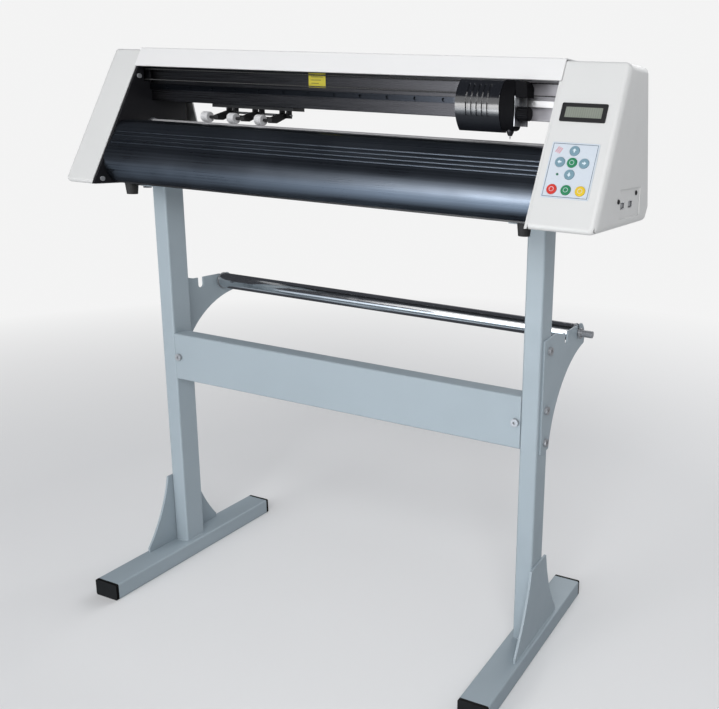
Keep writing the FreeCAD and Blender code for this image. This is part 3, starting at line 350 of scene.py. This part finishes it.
def floor_surface():
    """Pale floor that melts into the background a few metres away."""
    f = Finish("floor_surface")
    cloud = f.noise(1.2, 3.0)
    base = f.mix(cloud, (0.80, 0.80, 0.80), (0.84, 0.84, 0.84))
    f.set(Base_Color=base, Roughness=0.75)
    f.set(Normal=f.bump(f.noise(220.0, 3.0), 0.0003, 0.15))
    away = f.node("ShaderNodeVectorMath", operation="LENGTH")
    f.put(f.place, away.inputs[0])
    glow = f.node("ShaderNodeEmission")
    f.put(BACKGROUND, glow.inputs["Color"])
    blend = f.node("ShaderNodeMixShader")
    f.put(f.span(away.outputs["Value"], *FLOOR_FADE, 0.0, 1.0), blend.inputs["Fac"])
    f.put(f.shader.outputs["BSDF"], blend.inputs[1])
    f.put(glow.outputs["Emission"], blend.inputs[2])
    f.put(blend.outputs["Shader"], f.tree.nodes["Material Output"].inputs["Surface"])
    return f.material


def painted_light_extrusion(name, dark, pale, rough):
    """Drawn metal along X with a painted reflection: dark and mirror-like at the left, pale and matt at the right
    as painted light.
    """
    f = Finish(name)
    # painted light: colour, metal and roughness turn from a dark painted reflection to pale lit metal along X
    right = f.span(f.axes(f.place)["X"], *BEAM_PAINTED_LIGHT_TURN, 0.0, 1.0)
    lines = f.noise(1.0, 4.0, f.stretched(12, 1400, 1400))
    base = f.mix(right, f.mix(lines, shade(dark, 0.8), shade(dark, 1.2)),
                 f.mix(lines, shade(pale, 0.92), shade(pale, 1.06)))
    f.set(Base_Color=base, Metallic=f.span(right, 0.0, 1.0, 1.0, 0.15))
    f.set(Roughness=f.maths("ADD", f.span(lines, 0.3, 0.7, rough - 0.04, rough + 0.06),
                            f.span(right, 0.0, 1.0, 0.0, 0.12)))
    f.set(Normal=f.bump(lines, 0.00004, 0.4, f.soft_normal(0.0006)))
    return f.material


def carriage_sheet(plate_front):
    """Bright aluminium flange in front of a plate with black paint."""
    f = Finish("carriage_sheet")
    painted = f.span(f.axes(f.place)["Y"], plate_front - 0.0002, plate_front + 0.0002, 0.0, 1.0)
    lines = f.noise(1.0, 4.0, f.stretched(1400, 1400, 12))
    metal = f.mix(lines, (0.50, 0.51, 0.53), (0.72, 0.73, 0.75))
    paint = f.mix(f.noise(700.0, 3.0), (0.008, 0.008, 0.009), (0.018, 0.018, 0.020))
    f.set(Base_Color=f.mix(painted, metal, paint), Metallic=f.span(painted, 0.0, 1.0, 1.0, 0.0))
    f.set(Roughness=f.span(lines, 0.3, 0.7, 0.30, 0.42))
    f.set(Normal=f.bump(lines, 0.00004, 0.4, f.soft_normal(0.0004)))
    return f.material


def ribbed_cover(painted_shade_height, gloss_height):
    """Glossy black moulding whose lower part loses its gloss below a height, as painted shade."""
    f = Finish("ribbed_cover")
    # painted shade: specular, coat and roughness make the lower part dull and dark
    gloss = f.span(f.axes(f.place)["Z"], painted_shade_height, gloss_height, 0.0, 1.0)
    fine = f.noise(300.0, 3.0)
    base = f.mix(f.noise(7.0, 4.0), (0.005, 0.006, 0.009), (0.008, 0.009, 0.012))
    base = f.mix(f.edges(0.0009), base, (0.014, 0.016, 0.020))
    f.set(Base_Color=base, Roughness=f.span(gloss, 0.0, 1.0, 0.5, 0.17), Coat_Roughness=0.08)
    f.set(Specular_IOR_Level=f.span(gloss, 0.0, 1.0, 0.2, 1.0), Coat_Weight=gloss)
    f.set(Normal=f.bump(fine, 0.00004, 0.35, f.soft_normal(0.0009)))
    return f.material


SLOT_FINISHES = {
    "stand_paint": coated("powder_coat", STAND_BLUE, 0.42, grain=800.0, depth=0.0002, edge=1.35),
    "black_plastic": coated("matt_black_plastic", (0.012, 0.012, 0.013), 0.48, edge=2.6),
    "black_gloss": coated("gloss_black_plastic", (0.006, 0.007, 0.010), 0.17, grain=300.0,
                          depth=0.00004, edge=2.0, specular=1.0, coat=1.0),
    "bolt_steel": brushed("zinc_steel", (0.40, 0.41, 0.43), 0.38, metal=0.5),
    "chrome_tube": polished_tube(),
    "black_rubber": soft_rubber("black_rubber", (0.018, 0.018, 0.018), 0.72),
    "white_rubber": soft_rubber("white_rubber", (0.62, 0.62, 0.63), 0.5),
    "black_paint": coated("black_powder_coat", (0.010, 0.010, 0.012), 0.38, edge=3.0),
    "black_anodised": anodised("black_anodised", (0.008, 0.009, 0.013), 0.22),
    "white_moulding": coated("white_moulding", (0.62, 0.625, 0.62), 0.42, grain=1300.0,
                             depth=0.0001, edge=1.08, drift=0.02),
    "white_paint": coated("white_sheet_paint", (0.72, 0.72, 0.72), 0.36, grain=1000.0,
                          depth=0.0001, edge=1.08, drift=0.02),
    "roller_steel": brushed("ground_steel", (0.62, 0.63, 0.65), 0.26),
    "pulley_metal": brushed("machined_aluminium", (0.66, 0.67, 0.69), 0.34, "Z"),
    "dark_metal": brushed("dark_turned_metal", (0.05, 0.05, 0.055), 0.32, "Z", metal=0.6),
    "keypad_film": printed_film("keypad_film", (0.53, 0.58, 0.64)),
    "circuit_board": circuit_board(),
    "key_blue": printed_film("key_blue", (0.16, 0.27, 0.33)),
    "key_green": printed_film("key_green", (0.02, 0.20, 0.09)),
    "key_red": printed_film("key_red", (0.55, 0.03, 0.02)),
    "key_yellow": printed_film("key_yellow", (0.66, 0.46, 0.02)),
}
NODE_FINISHES = {
    "foot_end_caps": coated("end_cap_plastic", (0.005, 0.005, 0.005), 0.5, edge=2.5, specular=0.15),
    "feed_shaft": knurled_steel(),
    "platen": anodised("blue_black_platen", (0.13, 0.15, 0.18), 0.28, metal=1.0),
    # painted light: the beam and rail carry a painted reflection, dark at the left and pale at the right
    "carriage_beam": painted_light_extrusion("satin_beam_painted_light", (0.055, 0.055, 0.060), (0.42, 0.41, 0.44), 0.27),
    "linear_rail": painted_light_extrusion("ground_rail_painted_light", (0.030, 0.034, 0.042), (0.75, 0.75, 0.76), 0.20),
    # painted shade on the lower part of the carriage cover
    "carriage_cover": ribbed_cover(*COVER_PAINTED_SHADE_TO_GLOSS),
    "tool_block": coated("matt_tool_block", (0.004, 0.004, 0.005), 0.6, edge=2.0, specular=0.08),
    "solenoid": coated("matt_coil_housing", (0.004, 0.004, 0.005), 0.6, edge=2.0, specular=0.08),
    "clamp_knob": coated("matt_knob", (0.004, 0.004, 0.005), 0.55, edge=2.5, specular=0.12),
    "carriage_plate": carriage_sheet(CARRIAGE_PLATE_FRONT),
    "drive_belt": toothed_belt(),
    "feed_belt": toothed_belt(),
    "carriage_motor": motor_case(),
    "feed_motor": motor_case(),
}


def finish_cad_nodes():
    for node, slot in MATERIALS.items():
        shape = frame["nodes"][node]
        shape.data.materials.clear()
        shape.data.materials.append(NODE_FINISHES.get(node, SLOT_FINISHES[slot]))


# ---------------------------------------------------------------- mesh helpers
def new_piece(name, mesh_data, finish, body, smooth=False):
    mesh = bpy.data.meshes.new(name)
    mesh_data.normal_update()
    mesh_data.to_mesh(mesh)
    mesh_data.free()
    piece = bpy.data.objects.new(name, mesh)
    bpy.context.scene.collection.objects.link(piece)
    piece.data.materials.append(finish)
    for face in mesh.polygons:
        face.use_smooth = smooth
    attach(piece, body)


def add_block(shape, low, high, bevel=0.0, turn=None):
    """Box between two corners with rounded edges, turned by a matrix if one is given."""
    low, high = Vector(low), Vector(high)
    size = high - low
    matrix = Matrix.Translation((low + high) / 2) @ Matrix.Diagonal((*size, 1.0))
    made = bmesh.ops.create_cube(shape, size=1.0, matrix=matrix)
    verts = made["verts"]
    if bevel:
        edges = list({e for v in verts for e in v.link_edges})
        done = bmesh.ops.bevel(shape, geom=edges, offset=bevel, segments=2, profile=0.5, affect="EDGES")
        verts = list({v for f in done["faces"] for v in f.verts} | {v for v in verts if v.is_valid})
    if turn is not None:
        bmesh.ops.transform(shape, matrix=turn, verts=verts)


def add_prism(shape, outline, low, high, turn=None):
    """Flat outline in x and y, given thickness from low to high in z."""
    bottom = [shape.verts.new((x, y, low)) for x, y in outline]
    top = [shape.verts.new((x, y, high)) for x, y in outline]
    shape.faces.new(bottom[::-1])
    shape.faces.new(top)
    count = len(outline)
    for i in range(count):
        j = (i + 1) % count
        shape.faces.new((bottom[i], bottom[j], top[j], top[i]))
    if turn is not None:
        bmesh.ops.transform(shape, matrix=turn, verts=bottom + top)


def disc_outline(x, y, radius, count=24):
    return [(x + radius * math.cos(2 * math.pi * i / count),
             y + radius * math.sin(2 * math.pi * i / count)) for i in range(count)]


# ---------------------------------------------------------------- control panel
ARROW_TURNS = {"key_up": 0.0, "key_left": math.pi / 2, "key_down": math.pi, "key_right": -math.pi / 2}
RING_KEYS = ("key_centre", "key_red", "key_green", "key_yellow")
MARK_R = 3.4 * MM
MARK_SUNK = 0.1 * MM


def panel_matrix():
    """Frame of the sloping panel: x along the machine, y up the slope, z out of the face."""
    press = next(j for j in frame["joints"] if j["name"] == "key_centre_press")
    outward = -Vector(press["axis"]).normalized()
    along = Vector((1, 0, 0))
    up = outward.cross(along)
    low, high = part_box("key_centre")
    centre = (low + high) / 2
    turn = Matrix((along, up, outward)).transposed().to_4x4()
    origin = centre + outward * face_height("key_centre", centre, outward)
    return Matrix.Translation(origin) @ turn


def face_height(node, point, outward):
    """How far a node reaches beyond a point in one direction."""
    verts = frame["nodes"][node].data.vertices
    return max((v.co - point).dot(outward) for v in verts)


def spot_on_panel(matrix, node):
    low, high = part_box(node)
    return matrix.inverted() @ ((low + high) / 2)


def reach(matrix, node):
    """Lowest and highest corners of a node in the panel's own frame."""
    inverse = matrix.inverted()
    points = [inverse @ v.co for v in frame["nodes"][node].data.vertices]
    low = Vector([min(p[i] for p in points) for i in range(3)])
    high = Vector([max(p[i] for p in points) for i in range(3)])
    return low, high


def arrow_outline(x, y, size, angle):
    """Plain triangular arrow head with a short stem."""
    points = [(0.0, 1.0), (0.85, 0.05), (0.3, 0.05), (0.3, -0.75), (-0.3, -0.75), (-0.3, 0.05), (-0.85, 0.05)]
    cos, sin = math.cos(angle), math.sin(angle)
    return [(x + size * (px * cos - py * sin), y + size * (px * sin + py * cos)) for px, py in points]


def control_panel():
    matrix = panel_matrix()
    pale_print = printed_film("pale_print", (0.62, 0.70, 0.76))
    dark_print = printed_film("dark_print", (0.05, 0.09, 0.14))
    for node, angle in ARROW_TURNS.items():
        spot = spot_on_panel(matrix, node)
        top = reach(matrix, node)[1].z
        shape = bmesh.new()
        outline = arrow_outline(spot.x, spot.y, MARK_R, angle)
        add_prism(shape, outline, top - MARK_SUNK, top + 0.15 * MM, matrix)
        new_piece(node + "_arrow", shape, pale_print, node + "_cap")
    for node in RING_KEYS:
        spot = spot_on_panel(matrix, node)
        top = reach(matrix, node)[1].z
        shape = bmesh.new()
        add_ring(shape, spot, MARK_R, MARK_R - 0.6 * MM, top - MARK_SUNK, top + 0.12 * MM, matrix)
        new_piece(node + "_ring", shape, pale_print, node + "_cap")
    overlay_print(matrix, dark_print)
    display(matrix)
    cover_lip(matrix)


def join_rings(shape, rings):
    """Faces between each ring of vertices and the next."""
    count = len(rings[0])
    for a, b in zip(rings, rings[1:]):
        for i in range(count):
            j = (i + 1) % count
            shape.faces.new((a[i], a[j], b[j], b[i]))


def add_ring(shape, spot, outer, inner, low, high, turn):
    """Flat washer around a spot, between two heights."""
    rings = []
    for radius, z in ((outer, low), (outer, high), (inner, high), (inner, low)):
        rings.append([shape.verts.new((x, y, z)) for x, y in disc_outline(spot.x, spot.y, radius, 32)])
    join_rings(shape, rings + rings[:1])
    bmesh.ops.transform(shape, matrix=turn, verts=[v for ring in rings for v in ring])


def overlay_print(matrix, ink):
    """Border line, a plain corner mark and a small lamp on the keypad film."""
    low, high = reach(matrix, "keypad_overlay")
    top = high.z
    print_t = 0.08 * MM
    border(matrix, low, high, top, print_t, ink)
    corner_mark(matrix, low.x, high.y, top, print_t)
    status_lamp(matrix, top)


def border(matrix, low, high, top, thick, ink):
    inset, line = 2.0 * MM, 0.7 * MM
    x0, x1 = low.x + inset, high.x - inset
    y0, y1 = low.y + inset, high.y - inset
    strips = (
        (x0, y0, x1, y0 + line),
        (x0, y1 - line, x1, y1),
        (x0, y0 + line, x0 + line, y1 - line),
        (x1 - line, y0 + line, x1, y1 - line),
    )
    shape = bmesh.new()
    for left, lower, right, upper in strips:
        add_block(shape, (left, lower, top), (right, upper, top + thick), turn=matrix)
    new_piece("overlay_border", shape, ink, ROOT)


def corner_mark(matrix, left, upper, top, thick):
    """Three plain slanted strokes in the upper left corner."""
    first = Vector((left + 9.5 * MM, upper - 11.0 * MM))
    step = Vector((2.6 * MM, -1.0 * MM))
    half_height, lean, stroke = 4 * MM, 5.4 * MM, 1.4 * MM
    shape = bmesh.new()
    for i in range(3):
        foot = first + i * step - Vector((3 * MM, half_height))
        head = foot + Vector((lean, 2 * half_height))
        outline = [(foot.x, foot.y), (foot.x + stroke, foot.y), (head.x, head.y), (head.x - stroke, head.y)]
        add_prism(shape, outline, top, top + thick, matrix)
    new_piece("overlay_corner_mark", shape, printed_film("pink_print", (0.62, 0.20, 0.24)), ROOT)


def status_lamp(matrix, top):
    """Small dome between the left key and the red key."""
    left = spot_on_panel(matrix, "key_left")
    red = spot_on_panel(matrix, "key_red")
    radius, sunk = 2.0 * MM, 0.6 * MM
    shape = bmesh.new()
    dome = bmesh.ops.create_uvsphere(shape, u_segments=20, v_segments=12, radius=radius)
    place = matrix @ Matrix.Translation((left.x, (left.y + red.y) / 2 + radius, top - sunk))
    bmesh.ops.transform(shape, matrix=place, verts=dome["verts"])
    new_piece("status_lamp", shape, printed_film("lamp_lens", (0.04, 0.16, 0.10), 0.15), ROOT, True)


def display(matrix):
    """Glass pane set just behind the face of the display's bezel."""
    low, high = reach(matrix, "lcd_module")
    middle = (low + high) / 2
    half_w, half_h = 27.6 * MM, 8.6 * MM
    back, front = high.z - 0.9 * MM, high.z - 0.35 * MM
    shape = bmesh.new()
    add_block(shape, (middle.x - half_w, middle.y - half_h, back),
              (middle.x + half_w, middle.y + half_h, front), 0.15 * MM, matrix)
    new_piece("display_glass", shape, display_pane(), ROOT)


def cover_lip(matrix):
    """White lip of the right cover, over the front edge of its side plate."""
    inverse = matrix.inverted()
    points = [inverse @ v.co for v in frame["nodes"]["right_side_plate"].data.vertices]
    face = max(p.z for p in points)
    front = [p for p in points if p.z > face - 0.3 * MM]
    low = Vector((min(p.x for p in front), min(p.y for p in front), face - 0.1 * MM))
    high = Vector((max(p.x for p in front), max(p.y for p in front), face + 0.5 * MM))
    shape = bmesh.new()
    add_block(shape, low, high, 0.15 * MM, matrix)
    new_piece("right_cover_lip", shape, SLOT_FINISHES["white_moulding"], ROOT)


# ---------------------------------------------------------------- small details on the head
LABEL_X = (-69 * MM, -36 * MM)
LABEL_BELOW_TOP = (35 * MM, 12.5 * MM)
# Ports and side screws, in millimetres; a screw is its y, its z and how far in it sits
RECESS_DEPTH = 1.6
PORT_YS = (-12.0, 24.0)
PORT_ZS = (756.0, 766.0)
PORT_HALF = 7.0
PORT_WALL = 0.8
TONGUE_HALF = 5.2
SIDE_SCREWS = ((-35.0, 768.0, 0.0), (50.0, 776.0, RECESS_DEPTH))
# Screw head: radius and height of each ring, as shares of the head's radius
HEAD_PROFILE = ((1.0, 0.0), (1.0, 0.35), (0.86, 0.55), (0.5, 0.66), (0.45, 0.2))


def beam_label():
    """Yellow label on the beam, with three blank lines."""
    low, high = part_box("carriage_beam")
    face = low.y
    x0, x1 = LABEL_X
    z0, z1 = (high.z - drop for drop in LABEL_BELOW_TOP)
    shape = bmesh.new()
    add_block(shape, (x0, face - 0.25 * MM, z0), (x1, face, z1), 0.08 * MM)
    new_piece("yellow_label", shape, printed_film("yellow_label", (0.60, 0.52, 0.03)), ROOT)
    margin, line_t = 5 * MM, 1.4 * MM
    shape = bmesh.new()
    for i in range(3):
        z = z1 - (6 + 5 * i) * MM
        end = x1 - margin - 4 * i * MM
        add_block(shape, (x0 + margin, face - 0.32 * MM, z - line_t / 2),
                  (end, face - 0.2 * MM, z + line_t / 2))
    new_piece("yellow_label_lines", shape, printed_film("label_ink", (0.25, 0.22, 0.03)), ROOT)


def side_ports():
    """Connector shells, their inserts and two screws in the recess on the right cover."""
    outer_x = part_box("right_cover")[1].x
    floor_x = outer_x - RECESS_DEPTH * MM
    z0, z1 = PORT_ZS
    inner = PORT_HALF - PORT_WALL
    walls = ((-PORT_HALF, -inner, z0, z1), (inner, PORT_HALF, z0, z1),
             (-inner, inner, z0, z0 + PORT_WALL), (-inner, inner, z1 - PORT_WALL, z1))
    shape = bmesh.new()
    for y in PORT_YS:
        for y0, y1, low, high in walls:
            add_block(shape, (floor_x - 6 * MM, (y + y0) * MM, low * MM),
                      (floor_x + 0.8 * MM, (y + y1) * MM, high * MM))
    new_piece("port_shells", shape, SLOT_FINISHES["roller_steel"], ROOT)
    shape = bmesh.new()
    for y in PORT_YS:
        add_block(shape, (floor_x - 5.5 * MM, (y - TONGUE_HALF) * MM, (z0 + 2) * MM),
                  (floor_x - 0.4 * MM, (y + TONGUE_HALF) * MM, (z1 - 2) * MM), 0.2 * MM)
    new_piece("port_tongues", shape, printed_film("port_grey", (0.30, 0.31, 0.32)), ROOT)
    shape = bmesh.new()
    for y, z, sunk in SIDE_SCREWS:
        add_screw_head(shape, Vector((outer_x - sunk * MM, y * MM, z * MM)), Vector((1, 0, 0)), 3.4 * MM)
    new_piece("cover_side_screws", shape, SLOT_FINISHES["black_plastic"], ROOT)


def add_screw_head(shape, base, axis, radius):
    """Domed screw head with a round socket."""
    turn = Matrix.Translation(base) @ axis.to_track_quat("Z", "Y").to_matrix().to_4x4()
    rings = []
    for across, height in HEAD_PROFILE:
        sides = disc_outline(0, 0, radius * across, 28)
        rings.append([shape.verts.new((x, y, height * radius)) for x, y in sides])
    join_rings(shape, rings)
    shape.faces.new(rings[0][::-1])
    shape.faces.new(rings[-1])
    bmesh.ops.transform(shape, matrix=turn, verts=[v for ring in rings for v in ring])


def foot_pad_screws():
    """Screw heads at the bottom of the recess in each rubber foot."""
    low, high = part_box("rubber_feet")
    shape = bmesh.new()
    pad_r, recess = 10.5 * MM, 4 * MM
    for x in (low.x + pad_r, high.x - pad_r):
        for y in (low.y + pad_r, high.y - pad_r):
            add_screw_head(shape, Vector((x, y, low.z + recess)), Vector((0, 0, -1)), 3.8 * MM)
    new_piece("foot_pad_screws", shape, SLOT_FINISHES["bolt_steel"], ROOT)


# ---------------------------------------------------------------- stand details
WELD_R = 2.0 * MM
WELD_RIPPLE = 1.6 * MM
WELD_INSET = 3 * MM
POST_WIDTH = 30 * MM


def weld_bead(shape, start, end, lean):
    """Row of overlapping ripples between two points; lean is the side the bead sits on."""
    start, end = Vector(start), Vector(end)
    along = (end - start).normalized()
    side = Vector(lean).normalized()
    other = along.cross(side)
    length = (end - start).length
    steps = max(6, int(length / WELD_RIPPLE))
    around = 10
    rings = []
    for i in range(steps + 1):
        taper = min(1.0, 4.0 * min(i, steps - i) / steps + 0.25)
        swell = WELD_R * taper * (1.0 + 0.16 * math.cos(i * math.pi))
        centre = start + along * (length * i / steps)
        ring = []
        for k in range(around):
            angle = 2 * math.pi * k / around
            offset = side * swell * math.cos(angle) + other * swell * math.sin(angle)
            ring.append(shape.verts.new(centre + offset))
        rings.append(ring)
    join_rings(shape, rings)
    shape.faces.new(rings[0][::-1])
    shape.faces.new(rings[-1])


def stand_welds():
    """Beads where the posts and gusset plates meet the feet."""
    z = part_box("foot_tubes")[1].z
    post_low, post_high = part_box("posts")
    gusset_low, gusset_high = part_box("gusset_plates")
    gusset_ends = (gusset_low.y + 2 * MM, gusset_high.y - 2 * MM)
    post_ends = (post_low.y + WELD_INSET, post_high.y - WELD_INSET)
    shape = bmesh.new()

    def bead_along_y(x, ends, side):
        weld_bead(shape, (x, ends[0], z), (x, ends[1], z), (side, 0, 1))

    for side, outer, plate in ((-1, post_low.x, gusset_low.x), (1, post_high.x, gusset_high.x)):
        inner = outer - side * POST_WIDTH
        x0, x1 = min(inner, outer) + WELD_INSET, max(inner, outer) - WELD_INSET
        for y in (post_low.y, post_high.y):
            weld_bead(shape, (x0, y, z), (x1, y, z), (0, math.copysign(1, y), 1))
        bead_along_y(inner, post_ends, -side)
        bead_along_y(plate, gusset_ends, side)
    bmesh.ops.recalc_face_normals(shape, faces=shape.faces)
    new_piece("stand_welds", shape, SLOT_FINISHES["stand_paint"], ROOT, True)


# ---------------------------------------------------------------- studio
def studio():
    shape = bmesh.new()
    bmesh.ops.create_grid(shape, x_segments=1, y_segments=1, size=FLOOR_HALF)
    mesh = bpy.data.meshes.new("studio_floor")
    shape.to_mesh(mesh)
    shape.free()
    floor = bpy.data.objects.new("studio_floor", mesh)
    bpy.context.scene.collection.objects.link(floor)
    floor.data.materials.append(floor_surface())
    floor.visible_glossy = False
    for light in LIGHTS:
        add_light(*light)
    studio_world()
    bpy.context.scene.view_settings.view_transform = "Standard"


def studio_world():
    """Pale to the camera, soft fill for matt surfaces, dark in polished ones but for two soft glows."""
    world = bpy.data.worlds.new("studio_world")
    world.use_nodes = True
    bpy.context.scene.world = world
    sky = Nodes(world.node_tree)
    path = sky.node("ShaderNodeLightPath").outputs
    direction = sky.axes(sky.node("ShaderNodeTexCoord").outputs["Generated"])

    def ramp(axis, dark_end, bright_end):
        return sky.span(direction[axis], dark_end, bright_end, 0.0, 1.0)

    floor_glow = ramp(*FLOOR_GLOW[0])
    for limit in FLOOR_GLOW[1:]:
        floor_glow = sky.maths("MULTIPLY", floor_glow, ramp(*limit))
    mirrored = sky.mix(ramp(*REAR_GLOW), SKY_MIRRORED, REAR_MIRRORED)
    mirrored = sky.mix(floor_glow, mirrored, FLOOR_MIRRORED)
    lit = sky.mix(path["Is Glossy Ray"], SKY_FILL, mirrored)
    sky.put(sky.mix(path["Is Camera Ray"], lit, BACKGROUND), sky.tree.nodes["Background"].inputs["Color"])


def add_light(name, place, size, power):
    data = bpy.data.lights.new(name, "AREA")
    data.size = size
    data.energy = power
    light = bpy.data.objects.new(name, data)
    light.location = place
    aim = LIGHT_AIM - Vector(place)
    light.rotation_mode = "QUATERNION"
    light.rotation_quaternion = aim.to_track_quat("-Z", "Y")
    bpy.context.scene.collection.objects.link(light)


def home_shift(camera, home, index, value):
    """Lens shift that holds only while the camera stands at its home place."""
    curve = camera.data.driver_add("shift_x" if index == 0 else "shift_y")
    for modifier in list(curve.modifiers):
        curve.modifiers.remove(modifier)
    while curve.keyframe_points:
        curve.keyframe_points.remove(curve.keyframe_points[0])
    curve.keyframe_points.add(2)
    moved_away = 0.02
    for point, place in zip(curve.keyframe_points, ((0.0, value), (moved_away, 0.0))):
        point.co = place
        point.interpolation = "LINEAR"
    curve.extrapolation = "CONSTANT"
    curve.driver.type = "AVERAGE"
    gap = curve.driver.variables.new()
    gap.type = "LOC_DIFF"
    gap.targets[0].id = camera
    gap.targets[1].id = home


def camera():
    data = bpy.data.cameras.new("camera")
    view = bpy.data.objects.new("camera", data)
    bpy.context.scene.collection.objects.link(view)
    data.sensor_width = 36.0
    data.lens = CAMERA_LENS
    data.clip_start = 0.05
    data.clip_end = 60.0
    cos_p = math.cos(CAMERA_PITCH)
    forward = Vector((-math.sin(CAMERA_YAW) * cos_p, math.cos(CAMERA_YAW) * cos_p, math.sin(CAMERA_PITCH)))
    level = Vector((math.cos(CAMERA_YAW), math.sin(CAMERA_YAW), 0.0))
    upward = level.cross(forward)
    right = math.cos(CAMERA_ROLL) * level + math.sin(CAMERA_ROLL) * upward
    up = -math.sin(CAMERA_ROLL) * level + math.cos(CAMERA_ROLL) * upward
    view.rotation_mode = "QUATERNION"
    view.rotation_quaternion = Matrix((right, up, -forward)).transposed().to_quaternion()
    view.location = CAMERA_PLACE
    home = bpy.data.objects.new("camera_home", None)
    home.location = CAMERA_PLACE
    bpy.context.scene.collection.objects.link(home)
    for index in (0, 1):
        home_shift(view, home, index, CAMERA_SHIFT[index])
    bpy.context.scene.camera = view


finish_cad_nodes()
control_panel()
beam_label()
side_ports()
foot_pad_screws()
stand_welds()
studio()
camera()
